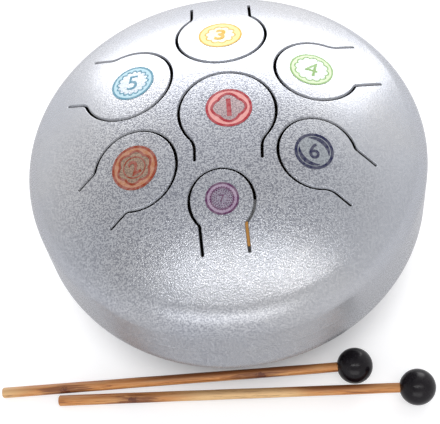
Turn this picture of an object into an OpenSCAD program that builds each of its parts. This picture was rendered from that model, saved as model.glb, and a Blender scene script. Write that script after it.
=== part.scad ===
// Steel tongue drum: a closed drum of two dished steel shells welded at the waist, with seven
// keyhole tongues cut in the crown, a printed disc on each tongue, three rubber feet and a pair
// of wooden mallets with rubber heads lying in front of it.
// Origin: on the drum's axis, on the surface that the drum stands on. +Z is up, -Y is the front.

/* [Drum body] */
// Overall diameter of the drum at its wall
drum_d = 200; // [190:1:216]
// Radius of the spherical crown, above and below
crown_r = 178; // [165:1:200]
// Outer radius of the shoulder between the crown and the wall
shoulder_r = 20; // [14:1:24]
// Height of the straight wall, both shells together
wall_h = 27; // [20:1:36]
// Thickness of the steel sheet
sheet_t = 1.5; // [1.2:0.1:2]
// Diameter of the sound port in the bottom
port_d = 40; // [24:1:50]
// Gap between the lowest point of the bottom and the standing surface
foot_lift = 5; // [3:0.5:9]

/* [Weld] */
// Width of the weld bead, measured on the wall
bead_w = 2; // [1.6:0.1:2.2]
// How far the dressed bead stands proud of the wall
bead_crown = 0.05; // [0.04:0.01:0.3]

/* [Tongues] */
// Radius of the circle that the outer tongues' heads lie on
ring_r = 50; // [48.5:0.5:52]
// Nominal diameter of a tongue's round head
head_d = 44; // [38:0.5:45]
// Nominal width of a tongue's neck
neck_w = 28; // [24:0.5:30]
// Nominal distance from the head's centre to the end of its leg slots
leg_reach = 27; // [25:0.5:28]
// Nominal radius of the inner corner between head and neck
corner_r = 4; // [2.5:0.5:5]
// Width of the cut round a tongue
slot_w = 1.4; // [1:0.1:1.8]
// Gap that parts a tongue from the shell along the line where it bends
root_gap = 0.05; // [0.04:0.01:0.1]

/* [Printed discs] */
// Nominal diameter of a printed disc
disc_d = 22; // [16:0.5:24]
// Thickness of a printed disc
film_t = 0.15; // [0.1:0.05:0.3]
// Thickness of the glue under a printed disc or a pad, left open
glue_gap = 0.02; // [0.02:0.01:0.05]

/* [Feet] */
// Diameter of a rubber foot
foot_d = 20; // [14:1:24]
// Radius of the circle that the feet stand on
foot_ring_r = 50; // [42:1:60]
// Radius of the rounded lower edge of a foot
foot_edge_r = 1.5; // [0.5:0.25:3]
// Thickness of the adhesive pad over a foot
pad_t = 0.8; // [0.5:0.1:1.5]
// How far a pad's rim stays inside the foot's rim
pad_inset = 0.6; // [0.2:0.1:1.5]

/* [Mallets] */
// Diameter of a mallet's rubber ball
ball_d = 18.2; // [15:0.2:22]
// Diameter of a stick at its butt end
butt_d = 5.6; // [5:0.1:7]
// Diameter of a stick where it enters the ball
tip_d = 5; // [4:0.1:5.4]
// Distance from the butt end to the ball's centre
mallet_reach = 183.5; // [150:1:220]
// Depth of the blind hole in the ball
socket_depth = 12; // [8:0.5:13]
// Bevel round the butt end
butt_bevel = 0.5; // [0.2:0.1:1]
// How far the rear ball lies to the right of the drum's axis
rear_ball_x = 57; // [40:1:80]
// How far the rear stick is tucked in under the rim, at the ball
rear_tuck = 11.6; // [8:0.2:12]
// How far the front mallet lies further to the right
front_lead = 30; // [26:1:45]
// Gap between the rear ball and the front stick
ball_gap = 0.8; // [0.6:0.1:3]
// Gap between the two sticks at the front mallet's butt end
butt_gap = 0.7; // [0.4:0.1:3]

/* [Hidden] */

// Run of a cut past the face that it goes through
over = 1;
// Facets of a circle round the drum's axis, of a small round and of a thin film's rim
body_fn = 240;
round_fn = 72;
film_fn = 120;
// How far a corner's round bites past its tangent lines, so that the edges cross cleanly
corner_bite = 0.05;

drum_r = drum_d / 2;
// Height of the crown's centre over the waist, below it because the crown is shallow
crown_z = wall_h / 2 - sqrt(pow(crown_r - shoulder_r, 2) - pow(drum_r - shoulder_r, 2));
// Height of the top over the waist
half_h = crown_r + crown_z;
// Height of the waist, where the two shells meet, over the standing surface
waist_z = foot_lift + half_h;
// Radius of the bead's round face, from its width and its crown
bead_r = (pow(bead_w / 2, 2) + pow(bead_crown, 2)) / (2 * bead_crown);

// The tongues, one row each: the bearing of the head's centre from the drum's axis and the
// direction that the neck runs in, both in degrees, and then shares of the nominal sizes:
// distance from the axis, head, neck, sideways shift of the neck, left and right leg, left and
// right corner, disc, and the disc's offset along and across the tongue in shares of the head's
// radius.
tongue_shares = [
    [ -3.2, -91.5, 0.085, 1.02, 1.07, 0.01, 0.99, 1.01, 2.75, 2.75, 1.01, -0.04, 0.04],
    [-147.4, -142.1, 0.96, 0.885, 0.94, -0.03, 0.97, 0.91, 0.90, 1.20, 1.04, -0.02, -0.03],
    [ 87.9, 92.5, 1.06, 0.99, 1.025, -0.02, 1.14, 1.08, 1.60, 0.70, 1.00, -0.02, 0.01],
    [ 28.4, 19.8, 1.09, 0.875, 0.93, 0.00, 0.99, 1.07, 2.20, 0.70, 0.99, -0.11, 0.03],
    [ 150.2, 158.5, 1.035, 0.995, 1.03, -0.05, 1.065, 1.02, 1.35, 2.00, 1.01, -0.12, -0.04],
    [ -27.5, -38.2, 1.015, 0.795, 0.845, 0.047, 0.88, 0.965, 0.95, 2.20, 0.85, -0.07, -0.05],
    [ -90.2, -87.2, 0.93, 0.655, 0.71, -0.02, 0.895, 0.875, 0.75, 0.85, 0.71, -0.03, 0.02]
];
disc_colors = ["crimson", "darkorange", "gold", "yellowgreen", "deepskyblue", "midnightblue", "darkorchid"];
// Bearings of the three feet
foot_bearings = [-90, 30, 150];

// Sizes of tongue n, counted from 1
function share(n, column) = tongue_shares[n - 1][column];
function bearing(n) = share(n, 0);
function aim(n) = share(n, 1);
function head_x(n) = ring_r * share(n, 2) * cos(bearing(n));
function head_y(n) = ring_r * share(n, 2) * sin(bearing(n));
function head_r(n) = head_d / 2 * share(n, 3);
function neck_half(n) = neck_w / 2 * share(n, 4);
function neck_side(n, side) = neck_half(n) + side * neck_w * share(n, 5);
function leg_end(n, side) = leg_reach * share(n, side > 0 ? 6 : 7);
function corner(n, side) = corner_r * share(n, side > 0 ? 8 : 9);
function disc_r(n) = disc_d / 2 * share(n, 10);
function disc_along(n) = head_r(n) * share(n, 11);
function disc_across(n) = head_r(n) * share(n, 12);
// Where the root line crosses the neck, so that both slots reach it
function root_x(n) = min(leg_end(n, 1), leg_end(n, -1)) - slot_w / 2;
// Where the centre of the corner's round lies along the neck
function corner_x(n, side) =
    sqrt(pow(head_r(n) + corner(n, side), 2) - pow(neck_side(n, side) + corner(n, side), 2));
// Plan position of the disc's centre, its distance from the drum's axis and its bearing
function disc_x(n) = head_x(n) + disc_along(n) * cos(aim(n)) - disc_across(n) * sin(aim(n));
function disc_y(n) = head_y(n) + disc_along(n) * sin(aim(n)) + disc_across(n) * cos(aim(n));
function disc_tilt(n) = asin(norm([disc_x(n), disc_y(n)]) / crown_r);
function disc_bearing(n) = atan2(disc_y(n), disc_x(n));

// Half section of the upper half of the drum, drawn in by inset
module half_section(inset) {
    meet_r = (crown_r - inset) * (drum_r - shoulder_r) / (crown_r - shoulder_r);
    intersection() {
        translate([0, crown_z])
            circle(r = crown_r - inset, $fn = body_fn * 2);
        square([meet_r, half_h]);
    }
    intersection() {
        translate([drum_r - shoulder_r, wall_h / 2])
            circle(r = shoulder_r - inset, $fn = round_fn * 2);
        square([drum_r, half_h]);
    }
    square([drum_r - inset, wall_h / 2]);
}

// The V between the two shells' edges, which the bead fills; shrink draws its sides in
module groove_section(shrink) {
    root = drum_r - bead_w / 2 + shrink;
    reach = bead_w;
    polygon([[root, 0], [root + reach, reach], [root + reach, -reach]]);
}

// One dished shell, open downwards, before its cuts
module dish() {
    rotate_extrude($fn = body_fn)
        difference() {
            half_section(0);
            half_section(sheet_t);
            groove_section(0);
        }
}

// Plan of a tongue with its head's centre at the origin and its neck along +X, grown on all
// sides by grow and ending at reach
module tongue_plan(n, grow, reach) {
    low = neck_side(n, -1) + grow;
    high = neck_side(n, 1) + grow;
    low_r = corner(n, -1) - grow;
    high_r = corner(n, 1) - grow;
    circle(r = head_r(n) + grow, $fn = film_fn);
    difference() {
        polygon([
            [0, 0],
            [corner_x(n, -1), -low - low_r],
            [corner_x(n, -1), -low],
            [reach, -low],
            [reach, high],
            [corner_x(n, 1), high],
            [corner_x(n, 1), high + high_r]
        ]);
        translate([corner_x(n, -1), -low - low_r])
            circle(r = low_r + corner_bite, $fn = round_fn);
        translate([corner_x(n, 1), high + high_r])
            circle(r = high_r + corner_bite, $fn = round_fn);
    }
}

// Plan of all that is cut away for a tongue: its own place and the slot round it
module cut_plan(n) {
    tongue_plan(n, slot_w, root_x(n));
    for (side = [-1, 1]) {
        slot_y = side * (neck_side(n, side) + slot_w / 2);
        straight_end = leg_end(n, side) - slot_w / 2;
        translate([corner_x(n, side), slot_y - slot_w / 2])
            square([straight_end - corner_x(n, side), slot_w]);
        translate([straight_end, slot_y])
            circle(d = slot_w, $fn = round_fn);
    }
}

// Moves a plan to its tongue's place and raises it through the crown
module raise_plan(n) {
    translate([head_x(n), head_y(n), wall_h / 2])
        rotate([0, 0, aim(n)])
            linear_extrude(half_h + over - wall_h / 2)
                children();
}

module top_shell() {
    color("silver")
        translate([0, 0, waist_z])
            difference() {
                dish();
                for (n = [1:7])
                    raise_plan(n)
                        cut_plan(n);
            }
}

module bottom_shell() {
    color("silver")
        translate([0, 0, waist_z])
            difference() {
                mirror([0, 0, 1])
                    dish();
                translate([0, 0, -half_h - over])
                    cylinder(h = half_h + over, d = port_d, $fn = body_fn);
            }
}

module seam_weld() {
    color("lightgray")
        translate([0, 0, waist_z])
            rotate_extrude($fn = body_fn)
                intersection() {
                    groove_section(glue_gap);
                    translate([drum_r + bead_crown - bead_r, 0])
                        circle(r = bead_r, $fn = round_fn);
                }
}

// A tongue is the same sheet as the shell, cut free all round but for its neck's end
module tongue(n) {
    color("silver")
        translate([0, 0, waist_z])
            intersection() {
                rotate_extrude($fn = body_fn)
                    difference() {
                        half_section(0);
                        half_section(sheet_t);
                    }
                raise_plan(n)
                    tongue_plan(n, 0, root_x(n) - root_gap);
            }
}

// A printed disc is a thin round film that lies on the crown over its tongue's head
module disc(n) {
    under_r = crown_r + glue_gap;
    color(disc_colors[n - 1])
        translate([0, 0, waist_z + crown_z])
            rotate([0, disc_tilt(n), disc_bearing(n)])
                rotate_extrude($fn = film_fn)
                    intersection() {
                        difference() {
                            circle(r = under_r + film_t, $fn = body_fn * 4);
                            circle(r = under_r, $fn = body_fn * 4);
                        }
                        square([disc_r(n), under_r + film_t]);
                    }
}

// The space outside a ball round the bottom crown's centre, where the feet and pads lie
module bottom_ball(radius) {
    translate([0, 0, waist_z - crown_z])
        sphere(r = radius, $fn = body_fn * 2);
}

module foot(k) {
    color("dimgray")
        difference() {
            translate([foot_ring_r * cos(foot_bearings[k]), foot_ring_r * sin(foot_bearings[k]), 0])
                rotate_extrude($fn = round_fn) {
                    square([foot_d / 2 - foot_edge_r, waist_z - wall_h / 2]);
                    translate([0, foot_edge_r])
                        square([foot_d / 2, waist_z - wall_h / 2 - foot_edge_r]);
                    translate([foot_d / 2 - foot_edge_r, foot_edge_r])
                        circle(r = foot_edge_r, $fn = round_fn);
                }
            bottom_ball(crown_r + 2 * glue_gap + pad_t);
        }
}

module pad(k) {
    color("black")
        translate([foot_ring_r * cos(foot_bearings[k]), foot_ring_r * sin(foot_bearings[k]), 0])
            intersection() {
                cylinder(h = waist_z - wall_h / 2, r = foot_d / 2 - pad_inset, $fn = round_fn);
                translate([-foot_ring_r * cos(foot_bearings[k]), -foot_ring_r * sin(foot_bearings[k]), 0])
                    difference() {
                        bottom_ball(crown_r + glue_gap + pad_t);
                        bottom_ball(crown_r + glue_gap);
                    }
            }
}

ball_r = ball_d / 2;
// The rear mallet lies along X and the front one is turned so that it clears the rear ball
rear_y = rear_tuck - drum_r;
front_ball_x = rear_ball_x + front_lead;
front_at_ball_y = rear_y - ball_r - tip_d / 2 - ball_gap;
front_at_butt_y = rear_y - butt_d - butt_gap;
front_run = mallet_reach - front_lead;
front_slope = (front_at_ball_y - front_at_butt_y) / front_run;
front_y = front_at_ball_y + front_slope * front_lead;
// Both mallets lie on the ball and on the butt end
mallet_pitch = asin((ball_r - butt_d / 2) / mallet_reach);

module place_mallet(is_front) {
    translate([is_front ? front_ball_x : rear_ball_x, is_front ? front_y : rear_y, ball_r])
        rotate([0, 0, is_front ? atan(front_slope) : 0])
            rotate([0, -mallet_pitch, 0])
                children();
}

// A stick lies along -X from the ball's centre: a tapered dowel with a spigot in the ball
module stick(is_front) {
    taper_l = mallet_reach - ball_r;
    color("sienna")
        place_mallet(is_front)
            translate([-mallet_reach, 0, 0])
                rotate([0, 90, 0])
                    rotate_extrude($fn = round_fn)
                        polygon([
                            [0, 0],
                            [butt_d / 2 - butt_bevel, 0],
                            [butt_d / 2, butt_bevel],
                            [tip_d / 2, taper_l],
                            [tip_d / 2, taper_l + socket_depth],
                            [0, taper_l + socket_depth]
                        ]);
}

module mallet_head(is_front) {
    color("black")
        place_mallet(is_front)
            difference() {
                sphere(r = ball_r, $fn = film_fn);
                translate([-ball_r - over, 0, 0])
                    rotate([0, 90, 0])
                        cylinder(
                            h = socket_depth + over + glue_gap, d = tip_d + 2 * glue_gap, $fn = round_fn
                        );
            }
}

top_shell();
bottom_shell();
seam_weld();
tongue(1);  // tongue_1
tongue(2);  // tongue_2
tongue(3);  // tongue_3
tongue(4);  // tongue_4
tongue(5);  // tongue_5
tongue(6);  // tongue_6
tongue(7);  // tongue_7
disc(1);  // disc_1
disc(2);  // disc_2
disc(3);  // disc_3
disc(4);  // disc_4
disc(5);  // disc_5
disc(6);  // disc_6
disc(7);  // disc_7
foot(0);  // foot_front
foot(1);  // foot_right
foot(2);  // foot_left
pad(0);  // pad_front
pad(1);  // pad_right
pad(2);  // pad_left
stick(false);  // stick_rear
stick(true);  // stick_front
mallet_head(false);  // head_rear
mallet_head(true);  // head_front
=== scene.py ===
"""Steel tongue drum: painted shells, seven tongues with printed discs, rubber feet and two mallets.

The packed part is the frame. Each piece sits where its CAD node is and moves with that node's body.
Lengths are in metres. The drum stands on z = 0 with its axis on Z, and its front faces -Y.
"""

import math
from functools import reduce

import bmesh
import bpy
import numpy as np
from bpy.props import FloatProperty, FloatVectorProperty, IntProperty, PointerProperty
from mathutils import Euler, Matrix, Vector
from mathutils.geometry import delaunay_2d_cdt


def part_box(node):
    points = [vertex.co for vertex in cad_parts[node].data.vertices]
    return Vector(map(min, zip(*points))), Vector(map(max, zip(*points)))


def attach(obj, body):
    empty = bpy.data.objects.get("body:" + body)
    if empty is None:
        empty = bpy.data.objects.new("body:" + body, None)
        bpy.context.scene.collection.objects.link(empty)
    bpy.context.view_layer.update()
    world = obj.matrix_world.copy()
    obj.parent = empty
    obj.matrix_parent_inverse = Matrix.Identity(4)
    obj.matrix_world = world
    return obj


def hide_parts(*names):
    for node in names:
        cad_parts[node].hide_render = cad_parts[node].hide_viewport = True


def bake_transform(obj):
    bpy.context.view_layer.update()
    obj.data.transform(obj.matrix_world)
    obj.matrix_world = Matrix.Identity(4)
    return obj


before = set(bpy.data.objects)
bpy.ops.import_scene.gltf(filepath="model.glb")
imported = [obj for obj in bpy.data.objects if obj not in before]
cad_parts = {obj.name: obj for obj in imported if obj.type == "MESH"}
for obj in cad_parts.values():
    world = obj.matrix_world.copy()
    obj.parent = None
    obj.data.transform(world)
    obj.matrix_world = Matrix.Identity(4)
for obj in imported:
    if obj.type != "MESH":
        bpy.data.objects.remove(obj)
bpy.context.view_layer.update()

bl_info = {
    "name": "Steel tongue drum",
    "version": (1, 0, 0),
    "blender": (4, 5, 0),
    "location": "View3D > Sidebar > Tongue Drum",
    "description": "Builds a painted steel tongue drum and its two mallets round the CAD frame",
    "category": "Object",
}

WAIST_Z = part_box("top_shell")[0].z
DRUM_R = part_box("top_shell")[1].x

MILLIMETRES = 1000
# Points closer than this are welded
WELD_DISTANCE = 1e-7
# Both parts of a normal that leans at 45 degrees, as on a bevel
HALFWAY = math.sqrt(0.5)

# Finishes of sheet steel, by the number of the face's material
PAINTED, BARE, CUT = 0, 1, 2

# One row for each tongue, as in the part's source: bearing of the head and direction of the neck in
# degrees, then shares of the nominal sizes: distance from the axis, head, neck, sideways shift of
# the neck, left leg, right leg, left corner, right corner, disc, and the disc's offset along and
# across the tongue.
TONGUE_SHARES = [
    [-3.2, -91.5, 0.085, 1.02, 1.07, 0.01, 0.99, 1.01, 2.75, 2.75, 1.01, -0.04, 0.04],
    [-147.4, -142.1, 0.96, 0.885, 0.94, -0.03, 0.97, 0.91, 0.90, 1.20, 1.04, -0.02, -0.03],
    [87.9, 92.5, 1.06, 0.99, 1.025, -0.02, 1.14, 1.08, 1.60, 0.70, 1.00, -0.02, 0.01],
    [28.4, 19.8, 1.09, 0.875, 0.93, 0.00, 0.99, 1.07, 2.20, 0.70, 0.99, -0.11, 0.03],
    [150.2, 158.5, 1.035, 0.995, 1.03, -0.05, 1.065, 1.02, 1.35, 2.00, 1.01, -0.12, -0.04],
    [-27.5, -38.2, 1.015, 0.795, 0.845, 0.047, 0.88, 0.965, 0.95, 2.20, 0.85, -0.07, -0.05],
    [-90.2, -87.2, 0.93, 0.655, 0.71, -0.02, 0.895, 0.875, 0.75, 0.85, 0.71, -0.03, 0.02],
]
TONGUE_NUMBERS = range(1, len(TONGUE_SHARES) + 1)

# The ornament of each disc in shares of its radius. A crown of petals stands inside the outer ring:
# count, radius at the foot and at the tip, and how round a petal is, where 1 is pointed.
DISC_DESIGNS = [
    {"slot": "print_red", "line": (156, 24, 40), "light": (214, 146, 142), "tint": (238, 210, 205),
     "petals": 4, "foot": 0.66, "tip": 0.80, "round": 1.3, "turn": 2, "line_width": 0.11,
     "petal_width": 0.12, "numeral": 0.92, "weight": 0.030},
    {"slot": "print_orange", "line": (134, 50, 22), "light": (168, 112, 80), "tint": (226, 192, 164),
     "petals": 6, "foot": 0.68, "tip": 0.80, "round": 1.5, "turn": 22, "line_width": 0.11,
     "petal_width": 0.10, "numeral": 0.66, "weight": 0.025, "inner_ring": 0.50},
    {"slot": "print_yellow", "line": (212, 168, 48), "light": (240, 220, 148), "tint": (248, 244, 206),
     "petals": 10, "foot": 0.62, "tip": 0.73, "round": 2.0, "turn": -8, "line_width": 0.08,
     "numeral": 0.84, "weight": 0.030},
    {"slot": "print_green", "line": (140, 176, 110), "light": (212, 230, 192), "tint": (238, 246, 232),
     "petals": 12, "foot": 0.72, "tip": 0.82, "round": 2.0, "turn": -14, "line_width": 0.08,
     "numeral": 0.86, "weight": 0.0},
    {"slot": "print_blue", "line": (84, 138, 160), "light": (178, 210, 222), "tint": (236, 244, 248),
     "petals": 16, "foot": 0.68, "tip": 0.79, "round": 2.0, "turn": -6, "line_width": 0.10,
     "numeral": 0.84, "weight": 0.0},
    {"slot": "print_indigo", "line": (14, 18, 62), "light": (168, 172, 192), "tint": (222, 226, 226),
     "petals": 2, "foot": 0.50, "tip": 0.80, "round": 2.0, "turn": 45, "line_width": 0.15,
     "numeral": 0.84, "weight": 0.015, "crescents": True},
    {"slot": "print_violet", "line": (82, 32, 78), "light": (152, 130, 154), "tint": (224, 210, 224),
     "petals": 28, "foot": 0.68, "tip": 0.74, "round": 2.0, "turn": 0, "line_width": 0.12,
     "numeral": 0.46, "weight": 0.020, "dot_rows": ((24, 0.57), (19, 0.46), (14, 0.34))},
]


def linear(colour):
    """Scene colour of a display colour given from 0 to 255."""
    shares = [c / 255 for c in colour]
    return tuple(c / 12.92 if c <= 0.04045 else ((c + 0.055) / 1.055) ** 2.4 for c in shares)


def length(name, description, default, **limits):
    """A length property in metres."""
    return FloatProperty(
        name=name, description=description, default=default, min=0.0, precision=5,
        subtype="DISTANCE", unit="LENGTH", **limits
    )


def angle(name, description, degrees):
    """An angle property, given in degrees."""
    return FloatProperty(
        name=name, description=description, default=math.radians(degrees),
        subtype="ANGLE", unit="ROTATION"
    )


def share(name, description, default):
    """A plain number from 0 to 1."""
    return FloatProperty(
        name=name, description=description, default=default, min=0.0, max=1.0, subtype="FACTOR"
    )


def power(name, description, default):
    """A lamp's power in watts."""
    return FloatProperty(
        name=name, description=description, default=default, min=0.0, subtype="POWER", unit="POWER"
    )


def colour(name, description, default):
    """A colour property, given as a display colour from 0 to 255."""
    return FloatVectorProperty(
        name=name, description=description, default=linear(default), size=3, min=0.0, max=1.0,
        subtype="COLOR"
    )


class TONGUEDRUM_PG_body(bpy.types.PropertyGroup):
    """Sizes of the drum's body"""

    crown_radius: length("Crown radius", "Radius of the spherical crown, above and below", 0.178)
    shoulder_radius: length("Shoulder radius", "Outer radius between crown and wall", 0.020)
    wall_height: length("Wall height", "Height of the straight wall, both shells together", 0.027)
    sheet: length("Sheet", "Thickness of the steel sheet", 0.0015)
    port_diameter: length("Port diameter", "Diameter of the sound port in the bottom", 0.040)
    bead_width: length("Bead width", "Width of the weld bead on the wall", 0.002)
    bead_crown: length("Bead crown", "How far the dressed bead stands proud", 0.00005)
    plan_radius: length("Plan radius", "Radius out to which the crown is laid out in plan", 0.088)
    turn_steps: IntProperty(name="Steps", description="Steps in one turn of a shell", default=288)


class TONGUEDRUM_PG_tongues(bpy.types.PropertyGroup):
    """Nominal sizes of the tongues"""

    ring_radius: length("Ring radius", "Radius of the circle of the outer heads", 0.050)
    head_diameter: length("Head diameter", "Diameter of a tongue's round head", 0.044)
    neck_width: length("Neck width", "Width of a tongue's neck", 0.028)
    leg_reach: length("Leg reach", "From the head's centre to the end of its slots", 0.027)
    corner_radius: length("Corner radius", "Inner corner between head and neck", 0.004)
    slot_width: length("Slot width", "Width of the cut round a tongue", 0.0014)
    lip_radius: length("Lip radius", "Rounding that the paint gives to a cut edge", 0.00035)
    bend_length: length("Bend length", "Stretch of the neck that takes the bending", 0.011)


class TONGUEDRUM_PG_discs(bpy.types.PropertyGroup):
    """Sizes of the printed discs"""

    diameter: length("Disc diameter", "Nominal diameter of a printed disc", 0.022)
    film_height: length("Film height", "Top of the clear film over the paint", 0.00008)
    light_height: length("Light ink height", "Top of the light ink over the paint", 0.00012)
    line_height: length("Line ink height", "Top of the line ink over the paint", 0.00016)


class TONGUEDRUM_PG_mallets(bpy.types.PropertyGroup):
    """Sizes of the mallets"""

    ball_diameter: length("Ball diameter", "Diameter of the rubber ball", 0.0182)
    butt_diameter: length("Butt diameter", "Diameter of the stick at its butt end", 0.0056)
    tip_diameter: length("Tip diameter", "Diameter of the stick where it enters the ball", 0.005)
    reach: length("Reach", "From the butt end to the ball's centre", 0.1835)
    socket_depth: length("Socket depth", "Depth of the blind hole in the ball", 0.012)
    unevenness: length("Unevenness", "How far the whittled stick falls short of round", 0.00012)


class TONGUEDRUM_PG_finish(bpy.types.PropertyGroup):
    """Colours of the drum and the mallets"""

    paint_pale: colour("Pale paint", "Swells of the hammered paint", (190, 192, 197))
    paint_dark: colour("Dark paint", "Hollows of the hammered paint", (134, 136, 145))
    steel: colour("Bare steel", "Steel inside the drum", (92, 88, 84))
    rubber: colour("Ball rubber", "Rubber of the mallets' balls", (16, 12, 17))
    foot: colour("Foot rubber", "Rubber of the feet", (46, 46, 48))
    foam: colour("Adhesive foam", "Foam pads over the feet", (28, 28, 30))
    wood_pale: colour("Pale wood", "Sapwood of the sticks", (232, 194, 140))
    wood_mid: colour("Wood", "Wood of the sticks", (198, 128, 64))
    wood_dark: colour("Dark wood", "Dark streaks and knots", (96, 44, 14))
    packing: colour("Packing", "Brown sliver that shows in the violet tongue's slot", (186, 132, 62))


class TONGUEDRUM_PG_stage(bpy.types.PropertyGroup):
    """Light, floor and camera"""

    floor: colour("Floor", "Colour of the floor", (214, 214, 216))
    floor_glow: share("Floor glow", "Light that the floor adds where the camera sees it", 0.48)
    sky: share("Sky", "Level of the even light from all sides", 0.62)
    ceiling: share("Ceiling", "Level of the dim ceiling that glossy surfaces show", 0.54)
    back_lamp: power("Back lamp", "Power of the wide soft lamp behind the drum", 34.0)
    front_lamp: power("Front lamp", "Power of the strip lamp over the drum's front", 5.2)
    fill_lamp: power("Fill lamp", "Power of the low wide lamp in front of the drum", 7.5)
    focal_length: length("Focal length", "Lens of the camera, on a 36 mm sensor", 0.08927)
    azimuth: angle("Azimuth", "Turn of the camera round the drum", 7.345)
    elevation: angle("Elevation", "How steeply the camera looks down", 57.93)
    roll: angle("Roll", "Turn of the camera round its own axis", -10.477)
    camera_place: FloatVectorProperty(
        name="Camera place", description="Where the camera stands",
        default=(0.03231, -0.31188, 0.52562), size=3, subtype="TRANSLATION", unit="LENGTH",
    )


PROPERTY_GROUPS = {
    "drum_body": TONGUEDRUM_PG_body,
    "drum_tongues": TONGUEDRUM_PG_tongues,
    "drum_discs": TONGUEDRUM_PG_discs,
    "drum_mallets": TONGUEDRUM_PG_mallets,
    "drum_finish": TONGUEDRUM_PG_finish,
    "drum_stage": TONGUEDRUM_PG_stage,
}


def made_once(build):
    """Keeps what a function makes, once for each set of arguments, so that pieces share it."""
    kept = {}

    def once(*key):
        if key not in kept:
            kept[key] = build(*key)
        return kept[key]

    once.__doc__ = build.__doc__
    return once


def crown_centre(body):
    """Height of the upper crown's centre over the waist. It is below the waist."""
    run = DRUM_R - body.shoulder_radius
    return body.wall_height / 2 - math.sqrt((body.crown_radius - body.shoulder_radius) ** 2 - run**2)


def circle_point(radius, turn):
    """A point on a circle round the origin, in plan."""
    return np.array([radius * math.cos(turn), radius * math.sin(turn)])


def unit(rows):
    """Each row of an array made one long."""
    rows = np.asarray(rows, float)
    return rows / np.linalg.norm(rows, axis=-1, keepdims=True)


class Surface:
    """Faces gathered with a normal at each corner and a finish, before they become a mesh."""

    def __init__(self):
        self.places = []
        self.faces = []
        self.normals = []
        self.finishes = []

    def add(self, places, faces, normals, finish=0):
        """Adds faces whose corners have one normal each, turned to face the way the normals point."""
        places = np.asarray(places, float)
        normals = np.asarray(normals, float)
        start = sum(len(p) for p in self.places)
        self.places.append(places)
        for face in faces:
            a, b, c = (places[face[k]] for k in (0, 1, -1))
            if np.dot(np.cross(b - a, c - a), normals[list(face)].sum(0)) < 0:
                face = face[::-1]
            self.faces.append([start + k for k in face])
            self.normals.extend(normals[k] for k in face)
            self.finishes.append(finish)

    def add_grid(self, places, normals, finish=0):
        """Adds the four-cornered faces of a grid of points, rows by columns."""
        rows, columns = len(places), len(places[0])
        faces = [
            (r * columns + c, r * columns + c + 1, (r + 1) * columns + c + 1, (r + 1) * columns + c)
            for r in range(rows - 1)
            for c in range(columns - 1)
        ]
        self.add(np.reshape(places, (-1, 3)), faces, np.reshape(normals, (-1, 3)), finish)

    def add_turned(self, section, steps, lift=0.0, finish=0):
        """Adds a section of (radius, height, radial and upright part of the normal) turned round Z."""
        turns = np.linspace(0, 2 * math.pi, steps + 1)
        turns[-1] = 0
        cos, sin = np.cos(turns), np.sin(turns)
        places = [[(r * c, r * s, z + lift) for c, s in zip(cos, sin)] for r, z, _, _ in section]
        normals = [[(n * c, n * s, m) for c, s in zip(cos, sin)] for _, _, n, m in section]
        self.add_grid(places, normals, finish)

    def mesh(self, name, materials):
        """The welded mesh, with its corner normals kept."""
        places = np.concatenate(self.places)
        keys = np.round(places / WELD_DISTANCE).astype(np.int64)
        _, first, back = np.unique(keys, axis=0, return_index=True, return_inverse=True)
        back = back.reshape(-1)
        faces, normals, finishes, corner = [], [], [], 0
        for face, finish in zip(self.faces, self.finishes):
            welded = [int(back[k]) for k in face]
            own = self.normals[corner:corner + len(face)]
            corner += len(face)
            kept = [k for k in range(len(welded)) if welded[k] != welded[k - 1]]
            if len(kept) < 3:
                continue
            faces.append([welded[k] for k in kept])
            normals.extend(own[k] for k in kept)
            finishes.append(finish)
        mesh = bpy.data.meshes.new(name)
        mesh.from_pydata(places[first].tolist(), [], faces)
        mesh.polygons.foreach_set("material_index", finishes)
        mesh.polygons.foreach_set("use_smooth", [True] * len(faces))
        for material in materials:
            mesh.materials.append(material)
        mesh.normals_split_custom_set(unit(normals).tolist())
        mesh.update()
        return mesh


def add_piece(name, mesh):
    """An object at the origin that shows the mesh."""
    piece = bpy.data.objects.new(name, mesh)
    bpy.context.scene.collection.objects.link(piece)
    return piece


def arc(centre_r, centre_z, radius, start, end, rows, outwards=1):
    """Section points on an arc, by angle from the Z axis, with normals away from its centre."""
    turns = np.linspace(start, end, rows)
    return [
        (centre_r + radius * math.sin(t), centre_z + radius * math.cos(t),
         outwards * math.sin(t), outwards * math.cos(t))
        for t in turns
    ]


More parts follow.
